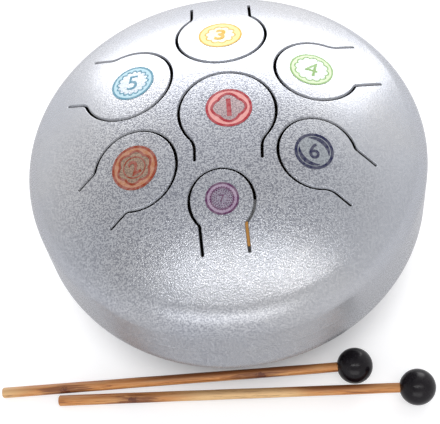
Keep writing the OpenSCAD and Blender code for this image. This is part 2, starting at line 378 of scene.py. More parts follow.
class Tongue:
    """The plan of one tongue, worked out from the nominal sizes and its own shares of them.

    Its own frame starts at the head's centre and runs along the neck. A side is 1 on the left of
    the neck and -1 on the right.
    """

    # Steps along the edge, in the corners beside the neck and in the slot's round ends
    STEP, CORNER_STEPS, CAP_STEPS = 0.0012, 8, 8
    SAME_PLACE = 1e-9

    def __init__(self, number):
        sizes = bpy.context.scene.drum_tongues
        discs = bpy.context.scene.drum_discs
        (bearing, aim, ring, head, neck, shift, left, right, left_corner, right_corner,
         disc, along, across) = TONGUE_SHARES[number - 1]
        self.number = number
        self.slot = sizes.slot_width
        self.centre = circle_point(sizes.ring_radius * ring, math.radians(bearing))
        self.ahead = circle_point(1, math.radians(aim))
        self.leftwards = np.array([-self.ahead[1], self.ahead[0]])
        self.head_r = sizes.head_diameter / 2 * head
        self.corner_r = {1: sizes.corner_radius * left_corner, -1: sizes.corner_radius * right_corner}
        half = sizes.neck_width / 2 * neck
        self.side = {s: half + s * sizes.neck_width * shift for s in (-1, 1)}
        self.leg = {1: sizes.leg_reach * left, -1: sizes.leg_reach * right}
        self.root = min(self.leg.values()) - self.slot / 2
        self.root_index = {}
        self.disc_r = discs.diameter / 2 * disc
        self.disc_centre = self.to_plan([self.head_r * along, self.head_r * across])

    def to_plan(self, own):
        """Plan points of points in the tongue's own frame, along and across it."""
        own = np.asarray(own, float)
        return self.centre + own[..., :1] * self.ahead + own[..., 1:] * self.leftwards

    def corner_along(self, side):
        """How far along the neck the centre of a corner's round lies."""
        across = self.side[side] + self.corner_r[side]
        return math.sqrt((self.head_r + self.corner_r[side]) ** 2 - across**2)

    def steps(self, start, end):
        """Even steps from one place along the neck to a lower one, without the first."""
        count = math.ceil((start - end) / self.STEP)
        return list(np.linspace(start, end, count + 1)[1:])

    def leg_path(self, side):
        """Edge points and outward directions from a leg's end up to the head, in its own frame."""
        start, corner = self.leg[side] - self.slot / 2, self.corner_along(side)
        stops = [start]
        if start > self.root + self.SAME_PLACE:
            stops += self.steps(start, self.root)
        self.root_index[side] = len(stops) - 1
        stops += self.steps(self.root, corner)
        path = [((x, side * self.side[side]), (0, side)) for x in stops]
        middle = np.array([corner, side * (self.side[side] + self.corner_r[side])])
        towards = -unit(middle)
        first, last = math.atan2(-side, 0), math.atan2(towards[1], towards[0])
        turn = (last - first + math.pi) % (2 * math.pi) - math.pi
        for k in range(1, self.CORNER_STEPS + 1):
            away = circle_point(1, first + turn * k / self.CORNER_STEPS)
            path.append((middle + self.corner_r[side] * away, -away))
        return path

    def edge(self):
        """Edge points and outward directions from the right leg's end round the head to the left's."""
        right, left = self.leg_path(-1), self.leg_path(1)
        start = math.atan2(right[-1][0][1], right[-1][0][0])
        end = math.atan2(left[-1][0][1], left[-1][0][0])
        turn = (end - start) % (2 * math.pi) - 2 * math.pi
        count = math.ceil(abs(turn) * self.head_r / self.STEP)
        head = [circle_point(1, start + turn * k / count) for k in range(1, count)]
        path = right + [(self.head_r * away, away) for away in head] + left[::-1]
        self.roots = (self.root_index[-1], len(path) - 1 - self.root_index[1])
        points = np.array([p for p, _ in path])
        outward = np.array([n for _, n in path])
        return self.to_plan(points), outward[:, :1] * self.ahead + outward[:, 1:] * self.leftwards

    def slot_rows(self, offsets):
        """Loops round the slot, each set back from its walls by an offset, and the way to its middle."""
        points, outward = self.edge()
        turns = [math.pi * k / self.CAP_STEPS for k in range(1, self.CAP_STEPS)]
        left = [-math.cos(t) * outward[-1] + math.sin(t) * self.ahead for t in turns]
        right = [math.cos(t) * outward[0] + math.sin(t) * self.ahead for t in turns]
        inwards = np.concatenate([outward, -np.array(left), -outward[::-1], -np.array(right)])
        loops = []
        for offset in offsets:
            radius = self.slot / 2 + offset
            loops.append(np.concatenate([
                points - outward * offset,
                points[-1] + outward[-1] * self.slot / 2 + radius * np.array(left),
                (points + outward * (self.slot + offset))[::-1],
                points[0] + outward[0] * self.slot / 2 + radius * np.array(right),
            ]))
        return loops, inwards


class CrownPlan:
    """The crown from above, cut into triangles along every slot and tongue root."""

    # Side of the triangles, and the least distance of their corners from any edge
    GRID, CLEAR = 0.0025, 0.0011
    # Rows of the rounded lip in degrees, from the slot's wall to the top
    LIP_TURNS = (0, 45, 90)
    SHELL = ("shell", 0)
    # The cut keeps all triangles of the hull, and points this near are one, in millimetres
    WHOLE_HULL, SAME_POINT = 0, 1e-6
    # An edge past this share of the plan's radius lies on the rim
    RIM_SHARE = 1 - 1e-6

    def __init__(self, tongues):
        self.body = bpy.context.scene.drum_body
        lip = bpy.context.scene.drum_tongues.lip_radius
        turns = [math.radians(t) for t in self.LIP_TURNS]
        self.points, self.drops, self.leans, self.inwards = [], [], [], []
        self.edges, self.regions, self.owners = [], [], []
        for tongue in tongues:
            loops, inwards = tongue.slot_rows([lip * (1 - math.cos(t)) for t in turns])
            rows = []
            for loop, turn in zip(loops, turns):
                start = len(self.points)
                self.add_points(loop, lip * (1 - math.sin(turn)), math.cos(turn), inwards)
                rows.append(start + np.arange(len(loop)))
                self.edges += list(zip(rows[-1], np.roll(rows[-1], -1)))
            self.add_region(rows[0], ("slot", tongue.number))
            self.add_root(tongue, rows)
        self.add_rim()
        self.add_grid()
        self.cut()

    def add_points(self, points, drop=0.0, lean=0.0, inwards=None):
        """Adds plan points with how far each has dropped and how far its normal leans to the slot."""
        self.points.extend(points)
        self.drops.extend([drop] * len(points))
        self.leans.extend([lean] * len(points))
        self.inwards.extend(np.zeros((len(points), 2)) if inwards is None else inwards)

    def add_region(self, loop, owner):
        """Names the area inside a loop of point indices, which is turned anticlockwise."""
        x, y = np.array([self.points[k] for k in loop]).T
        area = np.dot(x, np.roll(y, -1)) - np.dot(y, np.roll(x, -1))
        self.regions.append([int(k) for k in (loop if area > 0 else loop[::-1])])
        self.owners.append(owner)

    def add_root(self, tongue, rows):
        """Joins the two ends of the tongue's root line, and names the tongue's own area."""
        right, left = tongue.roots
        ends = [np.array(self.points[rows[-1][k]]) for k in (right, left)]
        count = math.ceil(np.linalg.norm(ends[1] - ends[0]) / self.GRID)
        start = len(self.points)
        self.add_points([ends[0] + (ends[1] - ends[0]) * k / count for k in range(1, count)])
        line = [row[right] for row in rows] + list(range(start, start + count - 1))
        line += [row[left] for row in rows[::-1]]
        self.edges += list(zip(line[:-1], line[1:]))
        own = list(rows[0][right:left + 1]) + line[1:-1][::-1]
        self.add_region(own, ("tongue", tongue.number))

    def add_rim(self):
        """Adds the circle where the plan meets the turned part of the shell."""
        turns = np.linspace(0, 2 * math.pi, self.body.turn_steps + 1)[:-1]
        ring = len(self.points) + np.arange(len(turns))
        self.add_points([circle_point(self.body.plan_radius, t) for t in turns])
        self.edges += list(zip(ring, np.roll(ring, -1)))

    def add_grid(self):
        """Adds a field of even triangles' corners wherever nothing else is near."""
        reach = self.body.plan_radius - self.CLEAR
        fixed = np.array(self.points)
        row_gap = self.GRID * math.sqrt(3) / 2
        rows = math.ceil(reach / row_gap)
        for r in range(-rows, rows + 1):
            x = (np.arange(-rows, rows + 1) + 0.5 * (r % 2)) * self.GRID
            line = np.stack([x, np.full_like(x, r * row_gap)], 1)
            line = line[np.hypot(*line.T) < reach]
            if not len(line):
                continue
            gap = np.linalg.norm(line[:, None] - fixed[None], axis=2).min(1)
            self.add_points(line[gap > self.CLEAR])

    def cut(self):
        """Triangulates the plan and sorts the triangles by what they belong to."""
        points = [Vector(p * MILLIMETRES) for p in self.points]
        edges = [(int(a), int(b)) for a, b in self.edges]
        _, _, triangles, sources, _, owned = delaunay_2d_cdt(
            points, edges, self.regions, self.WHOLE_HULL, self.SAME_POINT, True
        )
        self.triangles = {}
        for triangle, regions in zip(triangles, owned):
            owner = self.owners[regions[0]] if regions else self.SHELL
            self.triangles.setdefault(owner, []).append([sources[k][0] for k in triangle])

    def raise_sheet(self, surface, owner):
        """Adds the sheet over one area: its painted face, its bare face and its cut edges."""
        used = sorted({k for t in self.triangles[owner] for k in t})
        index = {k: i for i, k in enumerate(used)}
        triangles = [[index[k] for k in t] for t in self.triangles[owner]]
        plan = np.array([self.points[k] for k in used])
        lean = np.array([self.leans[k] for k in used])[:, None]
        inwards = np.array([self.inwards[k] for k in used])
        centre = WAIST_Z + crown_centre(self.body)
        outer, inner = self.body.crown_radius, self.body.crown_radius - self.body.sheet
        square = (plan**2).sum(1)
        top = np.column_stack([plan, centre + np.sqrt(outer**2 - square)])
        radial = unit(top - (0, 0, centre))
        flat = np.column_stack([inwards, np.zeros(len(plan))])
        normals = unit(radial * np.sqrt(1 - lean**2) + flat * lean)
        top[:, 2] -= [self.drops[k] for k in used]
        low = np.column_stack([plan, centre + np.sqrt(inner**2 - square)])
        surface.add(top, triangles, normals, PAINTED)
        surface.add(low, triangles, -unit(low - (0, 0, centre)), BARE)
        self.add_walls(surface, plan, top[:, 2], low[:, 2], triangles)

    def add_walls(self, surface, plan, high, low, triangles):
        """Closes the sheet with upright walls along every edge but the rim's."""
        sides = {}
        for t in triangles:
            for a, b in zip(t, t[1:] + t[:1]):
                sides.setdefault((min(a, b), max(a, b)), []).append((a, b, sum(plan[k] for k in t) / 3))
        rim = self.body.plan_radius * self.RIM_SHARE
        for uses in sides.values():
            a, b, middle = uses[0]
            if len(uses) > 1 or min(np.hypot(*plan[a]), np.hypot(*plan[b])) > rim:
                continue
            along = unit(plan[b] - plan[a])
            out = np.array([along[1], -along[0], 0])
            out *= math.copysign(1, np.dot(out[:2], plan[a] - middle))
            corners = [(*plan[a], high[a]), (*plan[b], high[b]), (*plan[b], low[b]), (*plan[a], low[a])]
            surface.add(corners, [(0, 1, 2, 3)], [out] * 4, CUT)


# Rows of faces over the crown's and the shoulder's arc
CROWN_ROWS, SHOULDER_ROWS = 24, 20


def shell_section(body, inner_end, outer_start):
    """Section of a dished shell from the crown out to the waist and back on the inside, in patches."""
    centre = crown_centre(body)
    crown, shoulder, half = body.crown_radius, body.shoulder_radius, body.wall_height / 2
    meet = math.asin((DRUM_R - shoulder) / (crown - shoulder))
    bead = body.bead_width / 2
    inside = body.sheet
    painted = [
        arc(0, centre, crown, math.asin(outer_start / crown), meet, CROWN_ROWS),
        arc(DRUM_R - shoulder, half, shoulder, meet, math.pi / 2, SHOULDER_ROWS),
        [(DRUM_R, half, 1, 0), (DRUM_R, bead, 1, 0)],
    ]
    bare = [
        [(DRUM_R, bead, HALFWAY, -HALFWAY), (DRUM_R - bead, 0, HALFWAY, -HALFWAY)],
        [(DRUM_R - bead, 0, 0, -1), (DRUM_R - inside, 0, 0, -1)],
        [(DRUM_R - inside, 0, -1, 0), (DRUM_R - inside, half, -1, 0)],
        arc(DRUM_R - shoulder, half, shoulder - inside, math.pi / 2, meet, SHOULDER_ROWS, -1),
        arc(0, centre, crown - inside, meet, math.asin(inner_end / (crown - inside)), CROWN_ROWS, -1),
    ]
    return painted, bare


def mirrored(section):
    """A section turned upside down."""
    return [(r, -z, n, -m) for r, z, n, m in section]


def drum_materials():
    """The finishes of sheet steel in the order of its faces."""
    return [hammered_paint(), bare_steel(), cut_edge()]


def crown_top():
    """Height of the crown's top over the waist."""
    body = bpy.context.scene.drum_body
    return crown_centre(body) + body.crown_radius


def finish_piece(piece, body, slot, *nodes):
    """Sets a finished piece on its body, with its finish's slot and the nodes it stands for."""
    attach(piece, body)
    if nodes:
        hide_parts(*nodes)


class TONGUEDRUM_OT_shells(bpy.types.Operator):
    """Build the two dished shells, the dressed weld that joins them and the seven tongues"""

    bl_idname = "tongue_drum.shells"
    bl_label = "Shells and tongues"

    # Rows of faces over the weld bead, and its gap to the groove
    BEAD_ROWS, BEAD_GAP = 9, 0.00002

    def execute(self, context):
        body = context.scene.drum_body
        tongues = [Tongue(n) for n in TONGUE_NUMBERS]
        plan = CrownPlan(tongues)
        self.build_top(body, plan)
        self.build_bottom(body)
        self.build_weld(body)
        for tongue in tongues:
            self.build_tongue(plan, tongue)
        return {"FINISHED"}

    def build_top(self, body, plan):
        """The upper shell: the cut crown laid out in plan, and the rest turned round the axis."""
        top = Surface()
        plan.raise_sheet(top, plan.SHELL)
        self.add_sections(top, body, shell_section(body, body.plan_radius, body.plan_radius))
        self.finish_on_drum("drum_top", top, drum_materials(), "top_shell")

    def build_bottom(self, body):
        """The lower shell, with the round sound port in its middle."""
        bottom = Surface()
        port = body.port_diameter / 2
        painted, bare = (
            [mirrored(patch) for patch in patches] for patches in shell_section(body, port, port)
        )
        self.add_sections(bottom, body, (painted, bare))
        rim = [(port, painted[0][0][1], -1, 0), (port, bare[-1][-1][1], -1, 0)]
        bottom.add_turned(rim, body.turn_steps, WAIST_Z, CUT)
        self.finish_on_drum("drum_bottom", bottom, drum_materials(), "bottom_shell")

    def build_weld(self, body):
        """The bead in the groove between the shells, dressed almost flush."""
        weld = Surface()
        half, rise = body.bead_width / 2, body.bead_crown
        radius = (half**2 + rise**2) / (2 * rise)
        reach = math.asin((half - self.BEAD_GAP) / radius)
        level = math.pi / 2
        face = arc(DRUM_R + rise - radius, 0, radius, level - reach, level + reach, self.BEAD_ROWS)
        root = DRUM_R - half + self.BEAD_GAP
        weld.add_turned(face, body.turn_steps, WAIST_Z)
        for edge, lean in ((face[0], HALFWAY), (face[-1], -HALFWAY)):
            flank = [(*edge[:2], -HALFWAY, lean), (root, 0, -HALFWAY, lean)]
            weld.add_turned(flank, body.turn_steps, WAIST_Z)
        self.finish_on_drum("weld_bead", weld, [hammered_paint()], "seam_weld")

    def add_sections(self, surface, body, sections):
        """Turns the painted patches and the bare ones of a section round the axis."""
        for patches, finish in zip(sections, (PAINTED, BARE)):
            for patch in patches:
                surface.add_turned(patch, body.turn_steps, WAIST_Z, finish)

    def finish_on_drum(self, name, surface, materials, node):
        """Makes the painted piece of the drum's body that stands for a node."""
        finish_piece(add_piece(name, surface.mesh(name, materials)), "drum", "hammered_paint", node)

    def build_tongue(self, plan, tongue):
        """One tongue, which bends from its root and otherwise moves with its own body."""
        sheet = Surface()
        plan.raise_sheet(sheet, ("tongue", tongue.number))
        name = f"tongue_{tongue.number}"
        piece = add_piece(f"sprung_{name}", sheet.mesh(f"sprung_{name}", drum_materials()))
        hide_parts(name)
        bend = bpy.context.scene.drum_tongues.bend_length
        start, end = (
            (*tongue.to_plan([x, 0]), WAIST_Z + crown_top()) for x in (tongue.root, tongue.root - bend)
        )
        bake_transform(piece)


class TONGUEDRUM_OT_packing(bpy.types.Operator):
    """Build the brown sliver that is stuck in one leg of the violet tongue's slot"""

    bl_idname = "tongue_drum.packing"
    bl_label = "Slot packing"

    TONGUE, STEPS = 7, 12
    DEPTH, THICKNESS, CLEARANCE, SHORT_OF_END = 0.0005, 0.0007, 0.00006, 0.0030

    def execute(self, context):
        tongue = Tongue(self.TONGUE)
        body = context.scene.drum_body
        start = tongue.corner_along(1) - tongue.slot
        end = tongue.leg[1] - self.SHORT_OF_END
        middle = tongue.side[1] + tongue.slot / 2
        half = tongue.slot / 2 - self.CLEARANCE
        centre = WAIST_Z + crown_centre(body)
        sliver = Surface()
        rows = {}
        for side in (-1, 1):
            plan = tongue.to_plan([[x, middle + side * half] for x in np.linspace(start, end, self.STEPS)])
            for level, depth in (("top", self.DEPTH), ("low", self.DEPTH + self.THICKNESS)):
                height = centre + np.sqrt((body.crown_radius - depth) ** 2 - (plan**2).sum(1))
                rows[side, level] = np.column_stack([plan, height])
        across = np.append(tongue.leftwards, 0)
        ahead = np.append(tongue.ahead, 0)
        up = np.array([0, 0, 1])
        for first, second, way in (
            ((-1, "top"), (1, "top"), up), ((-1, "low"), (1, "low"), -up),
            ((-1, "top"), (-1, "low"), -across), ((1, "top"), (1, "low"), across),
        ):
            strip = [rows[first], rows[second]]
            sliver.add_grid(strip, np.broadcast_to(way, np.shape(strip)))
        for k, way in ((0, -ahead), (-1, ahead)):
            corners = [rows[key][k] for key in ((-1, "top"), (1, "top"), (1, "low"), (-1, "low"))]
            sliver.add(corners, [(0, 1, 2, 3)], [way] * 4)
        finish_piece(add_piece("slot_packing", sliver.mesh("slot_packing", [packing_fibre()])),
                     "drum", None)
        return {"FINISHED"}


@made_once
def ring_of_copies():
    """Node tree that shares one turn round Z evenly between copies of its mesh, in one finish."""
    tree = bpy.data.node_groups.new("Ring of copies", "GeometryNodeTree")
    tree.is_modifier = True
    for name, kind in (("Petal", "Geometry"), ("Count", "Int"), ("Finish", "Material")):
        tree.interface.new_socket(name, in_out="INPUT", socket_type=f"NodeSocket{kind}")
    tree.interface.new_socket("Ring", in_out="OUTPUT", socket_type="NodeSocketGeometry")
    given = tree.nodes.new("NodeGroupInput").outputs
    line = add_node(tree, "GeometryNodeMeshLine", {"Count": given["Count"], "Offset": (0, 0, 0)})
    index = add_node(tree, "GeometryNodeInputIndex", {})
    step = math_node(tree, "DIVIDE", 2 * math.pi, given["Count"])
    turn = add_node(tree, "ShaderNodeCombineXYZ", {"Z": math_node(tree, "MULTIPLY", index[0], step)})
    copies = add_node(
        tree, "GeometryNodeInstanceOnPoints",
        {"Points": line[0], "Instance": given["Petal"], "Rotation": turn[0]},
    )
    real = add_node(tree, "GeometryNodeRealizeInstances", {"Geometry": copies[0]})
    finish = add_node(
        tree, "GeometryNodeSetMaterial", {"Geometry": real[0], "Material": given["Finish"]}
    )
    tree.links.new(finish[0], tree.nodes.new("NodeGroupOutput").inputs["Ring"])
    return tree


def plain_mesh(piece):
    """A plain mesh of an object as its modifiers leave it. The object is removed."""
    mesh = bpy.data.meshes.new_from_object(
        piece.evaluated_get(bpy.context.evaluated_depsgraph_get())
    )
    bpy.data.objects.remove(piece)
    return mesh


def copied_round(mesh, count, material):
    """A plain mesh of the given one, repeated round Z by the node tree."""
    tree = ring_of_copies()
    piece = add_piece("petal_row", mesh)
    modifier = piece.modifiers.new("Ring", "NODES")
    modifier.node_group = tree
    sockets = {item.name: item.identifier for item in tree.interface.items_tree}
    modifier[sockets["Count"]] = count
    modifier[sockets["Finish"]] = material
    return plain_mesh(piece)


def slab(low_edge, high_edge, bottom, top, closed=False, ends=True):
    """A thin slab between two rows of points, given as angle and radius, as a mesh."""
    rows = [[circle_point(r, t) for t, r in row] for row in (low_edge, high_edge)]
    count = len(rows[0])
    places = [(*p, z) for z in (bottom, top) for row in rows for p in row]
    low_in, low_out, top_in, top_out = (k * count for k in range(4))
    faces = []
    for k in range(count if closed else count - 1):
        n = (k + 1) % count
        for first, second in ((top_in, top_out), (top_out, low_out), (low_out, low_in), (low_in, top_in)):
            faces.append((first + k, first + n, second + n, second + k))
    if ends and not closed:
        last = count - 1
        faces.append((low_in, top_in, top_out, low_out))
        faces.append((low_in + last, low_out + last, top_out + last, top_in + last))
    mesh = bpy.data.meshes.new("slab")
    mesh.from_pydata(places, [], faces)
    return mesh


# Steps round a ring, half the steps round a row of petals, and half the fewest across a petal
RING_STEPS, PETAL_ROW_STEPS, PETAL_LEAST_STEPS = 120, 48, 4
# A crescent takes up twice this turn. Its width is in shares of the line: at its ends, and what
# its middle adds.
CRESCENT_HALF, CRESCENT_STEPS = math.radians(62), 25
CRESCENT_END_SHARE, CRESCENT_SWELL_SHARE = 0.3, 1.1
SHARP_EDGE = math.radians(40)


def ring_slab(inner, outer, bottom, top):
    """A closed ring as a thin slab."""
    turns = np.linspace(0, 2 * math.pi, RING_STEPS + 1)[:-1]
    return slab([(t, inner) for t in turns], [(t, outer) for t in turns], bottom, top, closed=True)


def petal_curve(design, radius, steps):
    """Angle and radius along the edge of one petal, across its share of the turn."""
    half = math.pi / design["petals"]
    rise = design["tip"] - design["foot"]
    return [
        (s * half, radius * (design["foot"] + rise * (1 - abs(s) ** design["round"])))
        for s in np.linspace(-1, 1, steps)
    ]


def crescent(design, radius, width):
    """Inner and outer edge of a crescent about the design's turn, thin at both of its ends."""
    middle = math.radians(design["turn"])
    spread = np.linspace(-1, 1, CRESCENT_STEPS)
    outer = [(middle + s * CRESCENT_HALF, radius * design["tip"]) for s in spread]
    inner = [
        (t, r - width * (CRESCENT_END_SHARE + CRESCENT_SWELL_SHARE * (1 - s * s)))
        for (t, r), s in zip(outer, spread)
    ]
    return inner, outer


def petal_steps(design):
    """An odd number of points across one petal, so that one is at its tip."""
    return 2 * max(PETAL_LEAST_STEPS, round(PETAL_ROW_STEPS / design["petals"])) + 1


# Depth of a numeral before it is pressed to the ink's height
NUMERAL_DEPTH = 0.5


def numeral_mesh(number, height, weight, bottom, top):
    """A plain numeral as a flat closed shape, centred on the origin."""
    text = bpy.data.curves.new("numeral", "FONT")
    text.body = str(number)
    text.extrude = NUMERAL_DEPTH
    text.offset = weight
    mesh = plain_mesh(add_piece("numeral", text))
    bpy.data.curves.remove(text)
    places = np.array([v.co for v in mesh.vertices])
    low, high = places.min(0), places.max(0)
    scale = height / (high[1] - low[1])
    places[:, :2] = (places[:, :2] - (low[:2] + high[:2]) / 2) * scale
    places[:, 2] = bottom + (places[:, 2] - low[2]) / (high[2] - low[2]) * (top - bottom)
    mesh.vertices.foreach_set("co", places.ravel())
    mesh.update()
    return mesh


def onto_crown(places, tongue, turn):
    """Points given round the disc's centre and by height, laid on the crown over the tongue."""
    body = bpy.context.scene.drum_body
    radius = body.crown_radius
    centre = np.array([0, 0, WAIST_Z + crown_centre(body)])
    x, y = tongue.disc_centre
    up = np.array([x, y, math.sqrt(radius**2 - x * x - y * y)]) / radius
    right = unit(np.array([1, 0, 0]) - up[0] * up)
    ahead = np.cross(up, right)
    cos, sin = math.cos(turn), math.sin(turn)
    flat = np.column_stack([
        places[:, 0] * cos - places[:, 1] * sin, places[:, 0] * sin + places[:, 1] * cos
    ])
    reach = np.linalg.norm(flat, axis=1)
    bent = np.sin(reach / radius) / np.maximum(reach, WELD_DISTANCE)
    way = (
        np.cos(reach / radius)[:, None] * up
        + bent[:, None] * (flat[:, :1] * right + flat[:, 1:] * ahead)
    )
    return centre + way * (radius + places[:, 2:])


def welded(layers):
    """Meshes, each with the number of its finish, joined where their points meet."""
    joined = bmesh.new()
    for mesh, finish in layers:
        before = len(joined.faces)
        joined.from_mesh(mesh)
        joined.faces.ensure_lookup_table()
        for face in joined.faces[before:]:
            face.material_index = finish
            face.smooth = True
        bpy.data.meshes.remove(mesh)
    bmesh.ops.remove_doubles(joined, verts=joined.verts, dist=WELD_DISTANCE)
    return joined


def turned_out(joined, name):
    """The finished mesh of joined closed shapes, with their faces turned outwards."""
    bmesh.ops.recalc_face_normals(joined, faces=joined.faces)
    mesh = bpy.data.meshes.new(name)
    joined.to_mesh(mesh)
    joined.free()
    return mesh


def lay_on_crown(name, layers, tongue, turn, materials):
    """Joins flat layers, each a mesh and the number of its finish, and lays them on the crown."""
    result = turned_out(welded(layers), name)
    places = np.array([v.co for v in result.vertices])
    result.vertices.foreach_set("co", onto_crown(places, tongue, turn).ravel())
    for material in materials:
        result.materials.append(material)
    result.set_sharp_from_angle(angle=SHARP_EDGE)
    result.update()
    return add_piece(name, result)


class TONGUEDRUM_OT_discs(bpy.types.Operator):
    """Build the clear film and the printed ornament over each tongue's head"""

    bl_idname = "tongue_drum.discs"
    bl_label = "Printed discs"

    FILM_RINGS = 10
    # A face is upright where the upright part of its normal is under this
    UPRIGHT = 0.5
    # The print's radius in shares of the disc's, a petal's line in shares of a ring's line, and a
    # dot in shares of the space that it has
    PRINT_SHARE, PETAL_LINE_SHARE, DOT_SHARE = 0.995, 0.8, 0.55

    def execute(self, context):
        for number, design in zip(TONGUE_NUMBERS, DISC_DESIGNS):
            tongue = Tongue(number)
            self.build_film(tongue, design)
            self.build_print(tongue, design)
        return {"FINISHED"}

    def build_film(self, tongue, design):
        """The clear film, closed all round, with its lower face on the paint."""
        top = bpy.context.scene.drum_discs.film_height
        radii = np.linspace(0, tongue.disc_r, self.FILM_RINGS + 1)[1:]
        joined = welded([(ring_slab(a, b, 0, top), 0) for a, b in zip(radii[:-1], radii[1:])])
        middle = radii[0] + WELD_DISTANCE
        inner = [f for f in joined.faces if all(math.hypot(*v.co.xy) < middle for v in f.verts)]
        bmesh.ops.delete(joined, geom=self.inner_walls(joined) + inner, context="FACES")
        rims = [e for e in joined.edges if e.is_boundary]
        bmesh.ops.edgeloop_fill(joined, edges=rims)
        film = turned_out(joined, "film")
        piece = lay_on_crown(f"film_{tongue.number}", [(film, 0)], tongue, 0, [clear_film(design)])
        finish_piece(piece, f"tongue_{tongue.number}", None)

    def inner_walls(self, joined):
        """Upright faces that two neighbouring rings share."""
        return [
            f for f in joined.faces
            if abs(f.normal.z) < self.UPRIGHT and any(len(e.link_faces) > 2 for e in f.edges)
        ]

    def build_print(self, tongue, design):
        """Rings, petals and numeral in two inks."""
        sizes = bpy.context.scene.drum_discs
        radius, width = tongue.disc_r * self.PRINT_SHARE, tongue.disc_r * design["line_width"]
        base, light_top, line_top = sizes.film_height / 2, sizes.light_height, sizes.line_height
        line, light = (ink(design, kind) for kind in ("line", "light"))
        curve = petal_curve(design, radius, petal_steps(design))
        petal_width = radius * design.get("petal_width", design["line_width"] * self.PETAL_LINE_SHARE)
        roof = [(t, r - petal_width) for t, r in curve]
        layers = [(ring_slab(radius - width, radius, base, line_top), 0)]
        if design.get("crescents"):
            petal = slab(*crescent(design, radius, width), base, line_top)
        else:
            petal = slab(roof, curve, base, line_top, ends=False)
            inside = [(t, radius - width / 2) for t, _ in curve]
            gap = slab(curve, inside, base, light_top, ends=False)
            layers.append((copied_round(gap, design["petals"], light), 1))
        layers.append((copied_round(petal, design["petals"], line), 0))
        if "inner_ring" in design:
            ring = radius * design["inner_ring"]
            layers.append((ring_slab(ring - width / 2, ring, base, line_top), 0))
        for count, place in design.get("dot_rows", ()):
            spot = self.dot(radius * place, count, base, line_top)
            layers.append((copied_round(spot, count, line), 0))
        height = tongue.disc_r * design["numeral"]
        numeral = numeral_mesh(tongue.number, height, design["weight"], base, line_top)
        layers.append((numeral, 0))
        turn = 0 if design.get("crescents") else math.radians(design["turn"])
        piece = lay_on_crown(f"print_{tongue.number}", layers, tongue, turn, [line, light])
        finish_piece(piece, f"tongue_{tongue.number}", design["slot"], f"disc_{tongue.number}")

    def dot(self, place, count, bottom, top):
        """A small lozenge on the X axis, one of a row round the disc."""
        half = place * math.pi / count * self.DOT_SHARE
        mesh = bpy.data.meshes.new("dot")
        corners = [(place - half, 0), (place, -half), (place + half, 0), (place, half)]
        places = [(*p, z) for z in (bottom, top) for p in corners]
        sides = [(k, (k + 1) % 4, (k + 1) % 4 + 4, k + 4) for k in range(4)]
        mesh.from_pydata(places, [], [(3, 2, 1, 0), (4, 5, 6, 7), *sides])
        return mesh


class TONGUEDRUM_OT_feet(bpy.types.Operator):
    """Give the rubber feet and their foam pads their finishes"""

    bl_idname = "tongue_drum.feet"
    bl_label = "Feet and pads"

    def execute(self, context):
        for place in ("front", "right", "left"):
            for part, material in (("foot", foot_rubber()), ("pad", adhesive_foam())):
                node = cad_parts[f"{part}_{place}"]
                node.data.materials.clear()
                node.data.materials.append(material)
        return {"FINISHED"}


class Mallet:
    """Where one mallet lies and what it is called."""

    # Place of the rear ball along X, how far the rear stick lies in under the drum's front, and
    # how far the front ball lies ahead of the rear one
    REAR_X, REAR_TUCK, LEAD = 0.057, 0.0116, 0.030
    # Gaps between the mallets, at the rear ball and at the butts
    BALL_GAP, BUTT_GAP = 0.0008, 0.0007

    def __init__(self, place):
        sizes = bpy.context.scene.drum_mallets
        ball, tip, butt = (d / 2 for d in (sizes.ball_diameter, sizes.tip_diameter, sizes.butt_diameter))
        rear_y = self.REAR_TUCK - DRUM_R
        at_ball = rear_y - ball - tip - self.BALL_GAP
        at_butt = rear_y - 2 * butt - self.BUTT_GAP
        slope = (at_ball - at_butt) / (sizes.reach - self.LEAD)
        self.place = place
        self.body = f"{place}_mallet"
        front = place == "front"
        spot = (self.REAR_X + self.LEAD, at_ball + slope * self.LEAD) if front else (self.REAR_X, rear_y)
        turn = math.atan(slope) if front else 0.0
        pitch = math.asin((ball - butt) / sizes.reach)
        self.matrix = (
            Matrix.Translation((*spot, ball))
            @ Matrix.Rotation(turn, 4, "Z")
            @ Matrix.Rotation(-pitch, 4, "Y")
        )

    def put(self, surface, name, material):
        """Makes the piece from a surface in the mallet's own frame, and keeps that frame for grain."""
        mesh = surface.mesh(name, [material])
        own = np.array([v.co for v in mesh.vertices], np.float32)
        kept = mesh.attributes.new("own_place", "FLOAT_VECTOR", "POINT")
        kept.data.foreach_set("vector", own.ravel())
        mesh.transform(self.matrix)
        return add_piece(name, mesh)


def lathe_along_x(surface, section, steps, waver=None):
    """Adds a section of (radius, place along X, radial and axial part of the normal) turned round X."""
    turns = np.linspace(0, 2 * math.pi, steps + 1)
    turns[-1] = 0
    places, normals = [], []
    for r, x, n, m in section:
        radii = [r - (waver(x, t) if waver else 0) for t in turns]
        places.append([(x, q * math.cos(t), q * math.sin(t)) for q, t in zip(radii, turns)])
        normals.append([(m, n * math.cos(t), n * math.sin(t)) for t in turns])
    surface.add_grid(places, normals)


